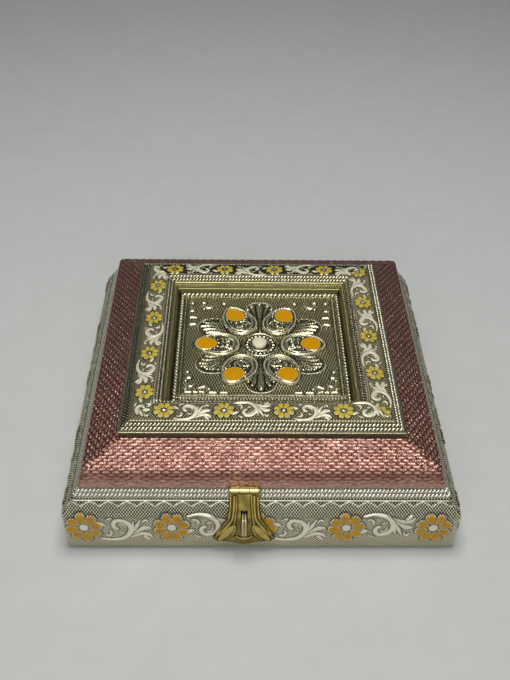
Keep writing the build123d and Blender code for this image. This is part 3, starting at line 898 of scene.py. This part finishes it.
rose = rose_metal()
bosses = boss_rule()
skirt_low, skirt_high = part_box("lid_front_sheet")
lid_half = -skirt_low.y / MM
lid_bottom = skirt_low.z / MM
bevel_top = skirt_high.z / MM
LID_LINE = [
    (lid_half, lid_bottom),
    (lid_half - SKIRT_LEAN, lid_bottom + SKIRT_HEIGHT),
    (lid_half - SKIRT_LEAN - BEVEL_RUN, bevel_top),
]
for turns, side in enumerate(SIDES):
    strip = Strip(LID_LINE, BASE_CORNER, turns)
    relief, across = strip.relief()
    flat, lifted = (strip.place(*strip.grid, lift)[0] for lift in (0.0, 1.0))
    piece = strip.piece(f"lid_{side}_rose_sheet", relief, rose)
    edge = strip.bends[1]
    on_skirt = soft_step(edge - BEND_ROWS * BOSS_ROW - across)
    fade = 0.3 + 0.7 * soft_step((across - 2.5) / 4)
    keep = soft_step((across - 0.6) / 1.0) * soft_step((strip.bends[-1] - across) / 0.8)
    press = keep * (1 + on_skirt * (SKIRT_FLAT * fade - 1))
    values = {"along": strip.along * MM, "across": across * MM, "from_edge": (across - edge) * MM}
    write_points(piece.data, values | {"press": press, "skirt": on_skirt, "off_sheet": lifted - flat})
    sizes = {"Pitch": BOSS_PITCH * MM, "Row": BOSS_ROW * MM, "Height": BOSS_HEIGHT * MM}
    bosses.grow(piece, {**sizes, "Finish": rose})
    fit(piece, "lid", f"lid_{side}_sheet")

# The picture frame's faces: the same chased white metal bent over a crowned moulding, with ropes on the outer
# slope, a band of small flowers and scrolls on top, and a stepped cove with ropes down to the sunk panel.
FRAME_BRIGHT = (0.92, 0.86, 0.60, 1)
FRAME_GROUND = (0.66, 0.60, 0.37, 1)
FRAME_HATCH = 2.0
AMBER = (1.0, 0.76, 0.07, 1)
AMBER_DEEP = (0.24, 0.15, 0.005, 1)
FRAME_LIP = 4.0
FRAME_SHOULDER = (7.2, 4.2)
FRAME_BAND = 15.5
COVE_KNEE = (4.6, 3.7)
COVE_RUN = 9.3
# Painted shade along the lip's foot reaches this far up.
LIP_SHADE = 3.6
BAND_PITCH = 38.6
BAND_SHIFT = {"front": -63.2, "right": -79.6, "back": -50.6, "left": -55.5}
# Painted shade on the band's ground, side by side, darkest on the back.
BAND_SHADE = {"front": 0.0, "right": 0.1, "back": 0.95, "left": 0.35}
BAND_EDGES = (12.6, 26.2)
BAND_MIDDLE = 20.3
BAND_FLOWER = (6.8, 6.3)
BAND_SCROLL = (0.72, 0.56)
BAND_RELIEF = 0.7
GILT_FROM = 32.0
FRAME_GROOVES = ((5.2, 11.4), (27.4, 33.0), (39.1, 42.6))
FRAME_FILLETS = (
    (4.4, 0.28, 0.15), (12.2, 0.25, 0.12), (26.6, 0.45, 0.35), (33.6, 0.32, 0.25), (38.4, 0.35, 0.3),
)
FRAME_ROPES = (6.9, 9.6, 29.0, 31.6)
FRAME_STRAND = (2.5, 1.95, 0.82, 0.62, math.radians(38))
COVE_BEADS = 35.6
COVE_BEAD = (1.8, 0.7, 0.55, 0.5, math.radians(30))
BEAD_SINK = 0.1
LID_STRAND_BRIGHT = (0.95, 0.91, 0.70, 1)
LID_STRAND_DULL = (0.60, 0.56, 0.34, 1)
# How much painted shade the lid's strands take on their left and right sides.
SIDE_STRAND_SHADE = 0.42

frame_metal = chased_metal(
    "chased_frame_metal", FRAME_BRIGHT, FRAME_GROUND, AMBER, AMBER_DEEP, pool_scale=800.0
)
lid_strands = strand_metal("lid_strand_metal", LID_STRAND_BRIGHT, LID_STRAND_DULL, SIDE_STRAND_SHADE)
frame_low, frame_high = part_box("frame_front_sheet")
frame_half = -frame_low.y / MM
crown_top = frame_high.z / MM
panel_low, panel_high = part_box("panel_sheet")
panel_top = panel_low.z / MM + SHEET_THICKNESS
band_outer = frame_half - FRAME_SHOULDER[0]
band_inner = band_outer - FRAME_BAND
panel_half = band_inner - COVE_RUN
FRAME_LINE = [
    (frame_half, bevel_top),
    (frame_half, bevel_top + FRAME_LIP),
    (band_outer, bevel_top + FRAME_LIP + FRAME_SHOULDER[1]),
    ((band_outer + band_inner) / 2, crown_top),
    (band_inner, crown_top),
    (band_inner - COVE_KNEE[0], crown_top - COVE_KNEE[1]),
    (panel_half, panel_top),
]
for turns, side in enumerate(SIDES):
    strip = Strip(FRAME_LINE, 0.0, turns)
    relief, across = strip.relief()
    for k in range(-1, 6):
        middle = BAND_SHIFT[side] + BAND_PITCH * k
        if abs(middle) < band_outer + 8:
            place = (middle, BAND_MIDDLE)
            relief.flower(place, BAND_FLOWER, FLOWER_PETALS, BAND_RELIEF, math.pi / 8, 0.2, 0.0)
        gap = (middle + BAND_PITCH / 2, BAND_MIDDLE)
        if abs(gap[0]) < band_outer + 14:
            chase_scroll(relief, gap, BAND_SCROLL, k, BAND_RELIEF, 0.75, 1.12)
    # Painted shade: a dark strip along the lip's foot, and on the back and left sides a darker band ground.
    relief.top(outline=0.55 * soft_step((LIP_SHADE - across) * 2))
    relief.top(outline=BAND_SHADE[side] * between(across, *BAND_EDGES, 3))
    for low, high in FRAME_GROOVES:
        relief.groove(low, high)
    for place, half, height in FRAME_FILLETS:
        relief.fillet(place, half, height)
    relief.gilt = 0.2 + 0.8 * soft_step((across - GILT_FROM) / 2)
    relief.hatch *= FRAME_HATCH
    piece = strip.piece(f"frame_{side}_chased_sheet", relief, frame_metal)
    fit(piece, "lid", f"frame_{side}_sheet")
    runs = []
    for place in FRAME_ROPES:
        runs += rope_lines(strip, place, STRAND_SINK)
    rope_piece(f"frame_{side}_ropes", runs, FRAME_STRAND, "lid", lid_strands)
    beads = rope_lines(strip, COVE_BEADS, BEAD_SINK)
    rope_piece(f"frame_{side}_beads", beads, COVE_BEAD, "lid", lid_strands)

# The sunk panel: one sheet driven up from behind into a rosette of six enamelled petals with leaves between
# them, round a cream boss in a ring of beads, with small scrolls in its corners, over a hatched field.
PANEL_GROUND = (0.72, 0.67, 0.41, 1)
PANEL_BRIGHT = (0.86, 0.82, 0.58, 1)
PETAL_AMBER = (0.70, 0.35, 0.001, 1)
PETAL_AMBER_DEEP = (0.60, 0.26, 0.001, 1)
BOSS_CREAM = (0.82, 0.77, 0.54, 1)
PANEL_HATCH = (1.9, 5.2)
PANEL_ROUGHNESS = 0.17
FIELD_HATCH = 1.8
PETALS = 6
PETAL_MIDDLE = 31.0
PETAL_SIZE = (16.5, 11.6)
PETAL_RELIEF = 2.3
PETAL_RIM = 0.75
PETAL_LINE = 3.1
ENAMEL_AT = (36.5, 36.1, 36.7, 38.6, 37.6, 37.3)
ENAMEL_SIZE = (7.7, 7.1)
KNOT_AT = 22.4
KNOT_RADIUS = 5.2
LEAF_RELIEF = 1.7
SIDE_LEAF = (
    ([(20, -10), (27, -12.4), (33, -13.6), (39, -12.9)], [0.4, 1.1, 1.5, 0.8]),
    ([(20.6, -11), (28.6, -15.4), (35.6, -17.2), (41.2, -16.2)], [0.4, 1.2, 1.7, 0.9]),
    ([(21.2, -12), (29, -17.8), (37, -20.6), (43.2, -20.2)], [0.4, 1.2, 1.6, 0.8]),
    ([(21.4, -12.8), (28, -19), (35, -23), (41.4, -24.4)], [0.4, 1.1, 1.5, 1.1]),
    ([(21.4, -13.4), (27.5, -19.8), (33, -24), (37.4, -27)], [0.4, 1.0, 1.3, 1.2]),
    ([(21.4, -14), (26.5, -20.4), (30.4, -24.2), (33.2, -27.4)], [0.4, 0.9, 1.1, 1.0]),
    ([(21, -14.4), (25.4, -20.6), (28.2, -24.4), (29.6, -27.4)], [0.4, 0.8, 1.0, 0.9]),
)
SIDE_TIPS = ((41.4, -24.4), (37.4, -27), (33.2, -27.4), (29.6, -27.4))
SIDE_EDGE = (
    [(27.2, -29.4), (33, -30), (38.4, -29.4), (43, -26.6), (45.6, -21.6), (45.0, -16.0)],
    [0.4, 0.5, 0.55, 0.55, 0.5, 0.35],
)
END_LEAF = (
    ([(0, -14), (0, -28), (0, -40), (0, -46)], [0.6, 1.7, 2.4, 2.1]),
    ([(1.6, -17), (3.0, -28), (4.6, -37), (6.0, -43.4)], [0.4, 1.2, 1.6, 1.2]),
    ([(2.6, -20), (5.0, -29), (7.0, -35), (8.8, -39.6)], [0.4, 1.0, 1.4, 1.2]),
)
END_TIPS = ((0, -46), (6.0, -43.4), (8.8, -39.6))
END_EDGE = ([(11.0, -39.6), (8.8, -45.2), (4.6, -48.6), (0, -49.4)], [0.35, 0.5, 0.55, 0.55])
LOW_CORNER = (
    ([(43.8, -41.2), (48.0, -43.6), (52.0, -41.4)], [0.4, 1.0, 0.5]),
    ([(35.4, -46.2), (38.6, -43.4), (42.4, -45.6)], [0.9, 1.8, 0.7]),
    ([(47.5, -49.2), (51.4, -49.0)], [0.8, 0.9]),
    ([(43.2, -49.4), (45.6, -49.0)], [0.7, 0.9]),
    ([(39.0, -49.6), (41.4, -48.8)], [0.6, 0.9]),
    ([(30.6, -49.8), (35.0, -49.6)], [0.6, 0.9]),
    ([(22.6, -50.0), (27.4, -49.8)], [0.5, 0.8]),
)
LOW_DOTS = ((50, -34, 2.1), (50.8, -29.2, 1.1), (51.4, -46, 0.9), (51.6, -38, 0.9))
HIGH_CORNER = (
    ([(33.0, 45.0), (38.6, 42.4), (44.4, 44.8)], [0.5, 1.5, 0.7]),
    ([(46.4, 30.0), (51.0, 31.4)], [0.4, 1.6]),
    ([(46.8, 22.4), (51.0, 23.0)], [0.4, 1.5]),
)
HIGH_DOTS = ((50.6, 48, 1.5), (50.6, 39.4, 2.0), (42, 48.6, 1.4), (41.6, 40.4, 1.0), (26.8, 47.4, 1.3))
COLLAR = 13.0
RING_RAILS = ((12.0, 0.6, 1.2), (7.0, 0.5, 1.2))
RING_BEADS = 20
RING_BEAD_AT = 9.4
BOSS_MIDDLE = (-0.6, 0)
BOSS_RADII = (6.5, 5.7)
BOSS_RISE = 4.8
BORDER_LINES = (51.7, 53.4)
FIELD_EDGE = 54.0
FIELD_HALF = 54.4
FIELD_POINTS = 300
FLANGE_POINTS = 8
PANEL_ROPES = (
    ("panel_rope", 58.6, 0.45, (3.1, 2.7, 1.25, 1.15, math.radians(48))),
    ("panel_beads", 55.6, 0.3, (2.1, 0.95, 0.7, 0.7, math.radians(30))),
)
ROPE_END = 1.4


def rosette_petal(relief, k):
    """One broad petal: rim with a painted highlight, body in painted shade with lighter painted streaks, a
    knot at its root, enamel held by beads and a crescent.
    """
    angle = 2 * math.pi * k / PETALS
    enamel_at = ENAMEL_AT[k]
    c, s = math.cos(angle), math.sin(angle)
    out = relief.along * c + relief.across * s
    side = relief.across * c - relief.along * s
    taper = 1 - 0.012 * (out - PETAL_MIDDLE)
    share = np.hypot((out - PETAL_MIDDLE) / PETAL_SIZE[0], side / (PETAL_SIZE[1] * taper))
    where = np.nonzero(share < 1.15)
    o, t, share = out[where], side[where], share[where]
    edge = (1 - share) * PETAL_SIZE[1]
    inside = edge > 0
    round_it = np.arctan2(t, o - enamel_at)
    wobble = 1 + 0.045 * np.cos(2 * round_it + 1.3 * k) + 0.035 * np.cos(3 * round_it + 2.1 * k)
    tip = np.hypot((o - enamel_at) / ENAMEL_SIZE[0], t / ENAMEL_SIZE[1]) * wobble
    bed = soft_step((1.1 - tip) * 6)
    crest = bell(edge - PETAL_LINE, 0.45)
    ripple = 0.35 * np.cos(2 * math.pi * (edge - 0.55) / 2.4) * np.exp(-edge / 6)
    crown = np.clip(1 - share**2, 0, 1)
    body = 0.5 + (PETAL_RELIEF - 0.5) * crown**0.8 + bell(edge - PETAL_RIM, 0.55) + ripple
    body = body * (1 - bed) + bed * (PETAL_RELIEF + 0.2 - 0.4 * tip**2)
    crescent = bell(tip - 1.15, 0.05) * soft_step((o - enamel_at) / 3)
    body += 0.5 * crescent
    relief.height[where] = np.where(inside, np.maximum(body, 0.2), relief.height[where])
    relief.raised[where] = np.where(inside, 1.0, relief.raised[where])
    # Lighter painted streaks fan over the body, and a painted highlight line follows its crest.
    spread = np.arctan2(t, o - 9.0)
    streak = np.cos(spread * 13) ** 6 * soft_step((o - 18) / 3) * soft_step((30 - o) / 3)
    # The body is painted dark as shade.
    dark = 0.95 * soft_step((edge - 1.5) / 0.6) * (1 - bed) * (1 - 0.8 * crescent) * (1 - 0.9 * streak)
    dark = dark * (1 - 0.7 * crest)
    seam = 0.9 * bell(tip - 1.06, 0.04) + 0.95 * bell(edge - 1.9, 0.4) * (1 - bed)
    near = np.maximum(relief.outline[where], np.where(edge < 0, bell(edge, 0.8), 0))
    relief.outline[where] = np.where(inside, np.clip(dark + seam, 0, 1), near)
    # A painted highlight in cream along the rim and the crest.
    wear_and_highlight = 0.6 * bell(edge - PETAL_RIM, 0.32) + 0.2 * crest * (1 - bed)
    relief.top(where, amber=soft_step((1 - tip) * 9) * inside, cream=wear_and_highlight * inside)
    knot = abs(np.hypot(o - KNOT_AT, t) - KNOT_RADIUS) / 0.5
    line = np.clip(1 - knot**2, 0, 1) * soft_step((1.6 - edge) * -2) * (1 - bed)
    relief.height[where] += 0.5 * np.sqrt(line)
    relief.outline[where] *= 1 - soft_step(line * 3)

    def bead(out, aside, radii, lean, height):
        place = (out * c - aside * s, out * s + aside * c)
        distance = np.hypot(relief.along - place[0], relief.across - place[1])
        relief.outline[distance < 0.9 * radii[1]] = 0
        relief.boss(place, radii, angle + lean, height)

    for i in range(-3, 4):
        lean = math.radians(25 * i)
        out = enamel_at - 1.16 * ENAMEL_SIZE[0] * math.cos(lean)
        bead(out, 1.16 * ENAMEL_SIZE[1] * math.sin(lean), (1.2, 0.85), -lean, PETAL_RELIEF + 0.6)
    for aside in (-1, 1):
        bead(KNOT_AT + 0.6, 2.1 * aside, (2.7, 1.35), 0.45 * aside, PETAL_RELIEF + 0.7)


def rosette_leaves(relief):
    """Fans of long fluted lobes over a dark bed, with bead tips and a thin edge in painted highlight, between
    the petals.
    """
    fans = ((SIDE_LEAF, SIDE_TIPS, SIDE_EDGE), (END_LEAF, END_TIPS, END_EDGE))
    for x, y in ((-1, -1), (-1, 1), (1, -1), (1, 1)):
        for lobes, tips, (edge, widths) in fans:
            for points, breadths in lobes:
                placed = [(x * a, -y * b) for a, b in points]
                relief.stroke(placed, breadths, LEAF_RELIEF, flutes=1, shade=1.7)
            for a, b in tips:
                relief.boss((x * a, -y * b), (1.45, 1.6), 0, LEAF_RELIEF + 0.6)
            # Cream on the thin edge is a painted highlight.
            relief.stroke([(x * a, -y * b) for a, b in edge], widths, 0.8, cream=0.45)


def corner_scrolls(relief):
    """Buds, crescents and dots in the corners: one set for the two front ones, one for the back ones."""
    for x in (-1, 1):
        for strokes, dots in ((LOW_CORNER, LOW_DOTS), (HIGH_CORNER, HIGH_DOTS)):
            for points, widths in strokes:
                relief.stroke([(x * a, b) for a, b in points], [1.4 * w for w in widths], 1.5)
            for a, b, radius in dots:
                relief.boss((x * a, b), (1.35 * radius, 1.35 * radius), 0, 1.7)


def panel_relief(along, across):
    """The whole rosette, its boss and ring, the corners and the border."""
    relief = Relief(along, across)
    rosette_leaves(relief)
    for k in range(PETALS):
        rosette_petal(relief, k)
    ring = np.hypot(along, across)
    collar = ring < COLLAR
    for mask, level in (("height", 0.25), ("raised", 0.0), ("amber", 0.0), ("outline", 0.85)):
        getattr(relief, mask)[collar] = level
    for radius, half, height in RING_RAILS:
        relief.ridge(ring - radius, half, height)
    for k in range(RING_BEADS):
        turn = 2 * math.pi * k / RING_BEADS
        relief.boss((RING_BEAD_AT * math.cos(turn), RING_BEAD_AT * math.sin(turn)), (1.15, 1.15), 0, 1.2)
    relief.boss(BOSS_MIDDLE, BOSS_RADII, math.pi / 2, BOSS_RISE, cream=1.0, drop=0.12)
    corner_scrolls(relief)
    for place in BORDER_LINES:
        relief.ridge(-across - place, 0.3, 0.3)
    border = np.maximum(abs(along), abs(across)) > FIELD_EDGE
    relief.plain[border] = 0.8
    relief.outline[border] = 0.55
    relief.outline = np.where(collar, relief.outline * (1 - relief.raised), relief.outline)
    # Raised work under the dark mask, such as the petals' bodies in painted shade, gives up its bright
    # colour.
    relief.raised *= 1 - 0.95 * np.clip(relief.outline, 0, 1)
    relief.hatch *= FIELD_HATCH
    relief.gilt += 0.15
    return relief


def panel_piece():
    """The chased square with a plain flange under the moulding, closed below."""
    fine = np.linspace(-FIELD_HALF, FIELD_HALF, FIELD_POINTS)
    plain = np.linspace(FIELD_HALF, panel_half, FLANGE_POINTS)[1:]
    ticks = np.concatenate((-plain[::-1], fine, plain))
    count = len(ticks)
    along, across = np.meshgrid(ticks, ticks, indexing="ij")
    relief = panel_relief(along, across)
    face = np.stack((along, across, panel_top + relief.height), -1).reshape(-1, 3)
    f = panel_high.x / MM
    rim = [(-f, -f), (f, -f), (f, f), (-f, f)]
    spare = [(x, y, z) for z in (panel_top, panel_top - SHEET_THICKNESS) for x, y in rim]
    a = count * count
    south, east, north, west = grid_edges(count, count)
    faces = grid_faces(count, count)
    for k, edge in enumerate((south, east, north[::-1], west[::-1])):
        faces.append([a + k, a + (k + 1) % 4] + edge[::-1])
        faces.append((a + 4 + k, a + 4 + (k + 1) % 4, a + (k + 1) % 4, a + k))
    faces.append((a + 7, a + 6, a + 5, a + 4))
    piece = mesh_piece("panel_chased_sheet", np.vstack((face, spare)) * MM, faces, panel_metal)
    paint(piece.data, relief)
    lay_out(piece.data, relief)
    return piece


panel_metal = chased_metal(
    "chased_panel_metal", PANEL_BRIGHT, PANEL_GROUND, PETAL_AMBER, PETAL_AMBER_DEEP,
    PANEL_HATCH, BOSS_CREAM, PANEL_ROUGHNESS,
)
fit(panel_piece(), "lid", "panel_sheet")
for name, half, lift, strand in PANEL_ROPES:
    runs = []
    for turns in range(4):
        ends = np.array([(x * (half - ROPE_END), -half, panel_top + lift) for x in (-1, 1)])
        runs.append((*turned(ends, turns), turned(np.array((0.0, lift, 1.0)), turns)))
    rope_piece(name, runs, strand, "lid", lid_strands)

# The hinges and screws: two plain stamped brass butt hinges at the back, each leaf let into the wood under
# the sheet and held by two countersunk screws. They keep the frame's own shapes and get a worn, aged brass.
BRASS_BRIGHT = (0.66, 0.57, 0.26, 1)
BRASS_AGED = (0.26, 0.21, 0.07, 1)


def aged_brass(name, bright, aged, dullness, painted_shade_below=None):
    """Brass with dull patches and fine scratches, lighter where raised as wear and as a painted highlight,
    with painted shade below a height in metres.
    """
    finish = Finish(name, Metallic=1.0, Roughness=0.34)
    patch = finish.noise(140.0, 4.0)
    # Raised ribs are lighter, as wear and as a painted highlight.
    age = patch * 0.9 + finish.attribute("hollow_and_shade") * 0.9 - finish.attribute("raised") * 0.5 + dullness
    if painted_shade_below is not None:
        # Painted shade below the given height, as on a barrel's underside.
        age = age + ((painted_shade_below - finish.axis(finish.place(), 2)) * 1500.0).clamped()
    finish.link(finish.mix(age.clamped(), bright, aged), "Base Color")
    finish.link((0.22 + patch * 0.3).clamped(), "Roughness")
    finish.bump(finish.noise(1400.0, 3.0), 0.00006)
    return finish.material


hinge_brass = aged_brass("hinge_brass", BRASS_BRIGHT, BRASS_AGED, -0.2)
for side in ("left", "right"):
    dress(hinge_brass, f"{side}_hinge_base_leaf", f"{side}_hinge_lid_leaf", f"{side}_hinge_pin")
dress(hinge_brass, "hinge_base_screws", "hinge_lid_screws", "hasp_screws")

# The hasp: a fan of stamped brass that hangs from a pin under the lid's edge, bent once to follow shoulder
# and wall, with raised ribs that flare to its tips, two leaf lobes, a lip, and a slot for the staple.
HASP_BRIGHT = (0.74, 0.56, 0.17, 1)
HASP_AGED = (0.10, 0.072, 0.014, 1)
BARREL_BRIGHT = (0.76, 0.65, 0.32, 1)
BARREL_LIT = 1.4
HASP_GAP = 1.3
HASP_SHEET = 0.9
HASP_TOP = 2.0
HASP_REACH = 42.2
HASP_SIDE = ((0.0, 9.2), (0.25, 9.8), (0.492, 11.9), (0.75, 15.4), (1.0, 20.0))
HASP_FOOT = ((0.0, 42.2), (0.325, 40.2), (0.675, 38.7), (0.86, 38.4), (0.95, 37.2), (1.0, 34.5))
HASP_ROWS = 66
HASP_BARREL = 2.1
HASP_KNUCKLE = 3.05
SLOT_HALF = 2.1
SLOT_TOP = 11.7
SLOT_BOTTOM = 31.2
HASP_WORK = (
    ([(6.3, 3.5), (6.4, 9), (7.2, 15), (9.4, 20.5), (13, 26.5), (18.6, 34)],
     [0.9, 0.9, 0.95, 1.0, 1.0, 0.8], 0.9),
    ([(4.7, 4), (4.9, 10), (5.6, 16), (6.2, 20.5)], [0.45, 0.5, 0.6, 0.5], 0.55),
    ([(6.8, 22.5), (9.2, 27), (12.4, 32), (15.4, 36.2)], [1.2, 3.0, 3.3, 1.6], 1.0),
    ([(6.0, 21), (5.6, 26), (7.6, 32), (11.5, 37)], [0.4, 0.6, 0.7, 0.5], 0.9),
    ([(8.6, 4), (8.9, 11), (10.2, 17), (13.6, 23.5), (18.2, 30.5)], [0.4, 0.4, 0.5, 0.5, 0.5], 0.35),
)
HASP_LIP = ([(-5.6, 33.2), (-3, 35), (0, 35.7), (3, 35), (5.6, 33.2)], [0.5, 0.9, 1.1, 0.9, 0.5], 1.0)
hasp_low, hasp_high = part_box("hasp_plate")
hasp_middle = (hasp_low.x + hasp_high.x) / 2 / MM
pin_low, pin_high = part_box("hasp_pin")
axis_height = (pin_low.z + pin_high.z) / 2 / MM
axis_reach = -(pin_low.y + pin_high.y) / 2 / MM


def offset_line(points, distance):
    """The line set off by distance to its left, with mitred bends."""
    moved = []
    for i, (x, z) in enumerate(points):
        if i in (0, len(points) - 1):
            normal = left_normal(*(points[:2] if i == 0 else points[-2:]))
            moved.append((x + distance / normal[0], z))
            continue
        ax, az = left_normal(points[i - 1], points[i])
        bx, bz = left_normal(points[i], points[i + 1])
        share = 1 + ax * bx + az * bz
        moved.append((x + distance * (ax + bx) / share, z + distance * (az + bz) / share))
    return moved


def hasp_relief(x, drop):
    """Ribs, lobes and lip over places across the plate and down from its axis."""
    relief = Relief(x, drop)
    for side in (-1, 1):
        for points, widths, height in HASP_WORK:
            relief.stroke([(side * a, b) for a, b in points], widths, height)
    relief.stroke(*HASP_LIP)
    return relief


def hasp_piece():
    """The stamped plate: front and back grids with the slot left out, closed all round."""
    near = offset_line(BASE_LINE, -HASP_GAP)[::-1]
    far = offset_line(BASE_LINE, -HASP_GAP - HASP_SHEET)[::-1]
    slot_ends = [(drop - HASP_TOP) / (HASP_REACH - HASP_TOP) for drop in (SLOT_TOP, SLOT_BOTTOM)]
    rows = np.array(sorted({*np.linspace(0, 1, HASP_ROWS), *slot_ends}))
    middle = np.linspace(-SLOT_HALF, SLOT_HALF, 9)
    wing = np.linspace(0, 1, 30)[1:]
    side = np.interp(rows, *zip(*HASP_SIDE))
    left = -SLOT_HALF - wing[::-1][:, None] * (side - SLOT_HALF)
    right = SLOT_HALF + wing[:, None] * (side - SLOT_HALF)
    x = np.vstack((left, np.repeat(middle[:, None], len(rows), 1), right))
    foot = np.interp(abs(x) / side, *zip(*HASP_FOOT))
    drop = HASP_TOP + rows * (foot - HASP_TOP)
    relief = hasp_relief(x, drop)
    height = axis_height - drop

    def on(line, lift):
        reach = np.interp(height, [p[1] for p in line[::-1]], [p[0] for p in line[::-1]])
        slope = height > line[1][1]
        normal = left_normal(*BASE_LINE[:0:-1])
        out = np.where(slope, -abs(normal[0]), -1.0) * lift
        rise = np.where(slope, abs(normal[1]), 0.0) * lift
        return np.stack((hasp_middle + x, -reach + out, height + rise), -1).reshape(-1, 3)

    first = len(wing)
    last = first + len(middle) - 1
    top_row, bottom_row = (int(np.argmin(abs(rows - end))) for end in slot_ends)
    n = len(rows)
    grid = [(i, j) for i in range(len(x) - 1) for j in range(n - 1)]
    slot = {(i, j) for i in range(first, last) for j in range(top_row, bottom_row)}
    cells = dict.fromkeys(cell for cell in grid if cell not in slot)
    faces = []
    for i, j in cells:
        a, b, c, d = (corner + i * n + j for corner in (0, 1, n + 1, n))
        faces.append((a, b, c, d))
        faces.append(tuple(x.size + v for v in (d, c, b, a)))
        for di, dj, p, q in ((-1, 0, b, a), (1, 0, d, c), (0, -1, a, d), (0, 1, c, b)):
            if (i + di, j + dj) not in cells:
                faces.append((p, q, x.size + q, x.size + p))
    points = np.vstack((on(far, relief.height), on(near, np.zeros_like(x)))) * MM
    piece = mesh_piece("hasp_stamped_plate", points, faces, hasp_brass)
    paint(piece.data, relief)
    return piece


def wire_rule():
    """Round wire along every line of a mesh, with closed ends."""
    rule = Rule("round_wire", "Radius")
    curve = rule.node("GeometryNodeMeshToCurve", inputs={"Mesh": rule.given["Mesh"]})
    inputs = {"Resolution": WIRE_SIDES, "Radius": rule.given["Radius"]}
    ring = rule.node("GeometryNodeCurvePrimitiveCircle", inputs=inputs)
    inputs = {"Curve": curve, "Profile Curve": ring, "Fill Caps": True}
    return rule.close(rule.node("GeometryNodeCurveToMesh", inputs=inputs))


def wire_piece(name, points, edges, radius, material, body, node=None):
    """One piece of round wire along the edges between points, in millimetres."""
    piece = bare_piece(name, [[c * MM for c in p] for p in points], edges)
    wire.grow(piece, {"Radius": radius * MM, "Finish": material})
    fit(piece, body, node)


WIRE_SIDES = 16
wire = wire_rule()
hasp_brass = aged_brass("hasp_brass", HASP_BRIGHT, HASP_AGED, 0.3)
# The barrel takes painted shade below a line a little above its axis.
barrel_brass = aged_brass("barrel_brass", BARREL_BRIGHT, BRASS_AGED, -0.35, (axis_height + BARREL_LIT) * MM)
dress(barrel_brass, "hasp_leaf", "hasp_pin")
fit(hasp_piece(), "hasp", "hasp_plate")
knuckle = [(hasp_middle + side * HASP_KNUCKLE, -axis_reach, axis_height) for side in (-1, 1)]
wire_piece("hasp_knuckle", knuckle, [(0, 1)], HASP_BARREL, barrel_brass, "hasp")

# The staple: brass wire doubled side by side and bent to a long loop, with both ends driven into the wall.
# It stands up through the hasp's slot, far enough out for a peg or a small padlock's shackle behind it.
WIRE_RADIUS = 0.85
WIRE_BEND = 3.8
BEND_POINTS = 9
STAPLE_BRIGHT = (0.74, 0.66, 0.42, 1)
STAPLE_AGED = (0.34, 0.28, 0.14, 1)
staple_brass = aged_brass("staple_brass", STAPLE_BRIGHT, STAPLE_AGED, -0.1)
staple_low, staple_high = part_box("staple")
bow_front, bow_root = staple_low.y / MM + WIRE_RADIUS, staple_high.y / MM
bow_low, bow_high = staple_low.z / MM + WIRE_RADIUS, staple_high.z / MM - WIRE_RADIUS
bow = [(bow_root, bow_low)]
for k in range(BEND_POINTS):
    turn = math.radians(90 / (BEND_POINTS - 1) * k)
    bow.append((bow_front + WIRE_BEND * (1 - math.sin(turn)), bow_low + WIRE_BEND * (1 - math.cos(turn))))
bow += [(y, bow_low + bow_high - z) for y, z in bow[::-1]]
wires = [(hasp_middle + side * WIRE_RADIUS, y, z) for side in (-1, 1) for y, z in bow]
steps = [(k, k + 1) for k in range(2 * len(bow) - 1) if k != len(bow) - 1]
wire_piece("staple_wires", wires, steps, WIRE_RADIUS, staple_brass, "base", "staple")

# Where it stands: a plain pale floor under soft studio light, a square lamp overhead that the front slopes
# mirror, a larger one in front, and the camera where the photographer stood.
FLOOR_DULL = (0.60, 0.61, 0.58, 1)
FLOOR_PALE = (0.66, 0.67, 0.645, 1)
FLOOR_REACH = 4.0
SKY = (0.9, 0.95, 1.0, 1)
SKY_STRENGTH = 0.12
LAMPS = (
    ("overhead_lamp", (0.0, 0.0, 1.25), (0, 0, 0), 0.55, 8.5),
    ("front_lamp", (-0.15, -1.5, 1.05), (0, 0, 0.03), 1.6, 12.0),
)
CAMERA_PLACE = (-0.01443, -0.46617, 0.47100)
CAMERA_TURN = (49.396, -0.864, -0.568)
CAMERA_LENS = 45.39


def floor_finish():
    """Pale paper, a little uneven in tone."""
    finish = Finish("pale_floor", Roughness=0.8)
    speck = finish.noise(40.0, 3.0)
    finish.link(finish.mix(speck.clamped(), FLOOR_DULL, FLOOR_PALE), "Base Color")
    finish.bump(finish.noise(600.0), 0.0001)
    return finish.material


def lamp(name, place, aim, size, power):
    """A square soft lamp turned to a point."""
    light = bpy.data.lights.new(name, "AREA")
    light.shape = "SQUARE"
    light.size = size
    light.energy = power
    holder = bpy.data.objects.new(name, light)
    holder.location = place
    holder.rotation_euler = (Vector(aim) - Vector(place)).to_track_quat("-Z", "Y").to_euler()
    bpy.context.scene.collection.objects.link(holder)


corners = [(x * FLOOR_REACH, y * FLOOR_REACH, 0) for x, y in ((-1, -1), (1, -1), (1, 1), (-1, 1))]
mesh_piece("floor", corners, [(0, 1, 2, 3)], floor_finish(), smooth=False)
for name, place, aim, size, power in LAMPS:
    lamp(name, place, aim, size, power)

world = bpy.data.worlds.new("studio")
bpy.context.scene.world = world
world.use_nodes = True
sky = world.node_tree.nodes["Background"]
sky.inputs["Color"].default_value = SKY
sky.inputs["Strength"].default_value = SKY_STRENGTH

camera_data = bpy.data.cameras.new("camera")
camera_data.lens = CAMERA_LENS
camera = bpy.data.objects.new("camera", camera_data)
camera.location = CAMERA_PLACE
camera.rotation_euler = [math.radians(a) for a in CAMERA_TURN]
bpy.context.scene.collection.objects.link(camera)
bpy.context.scene.camera = camera
bpy.context.scene.view_settings.view_transform = "Standard"
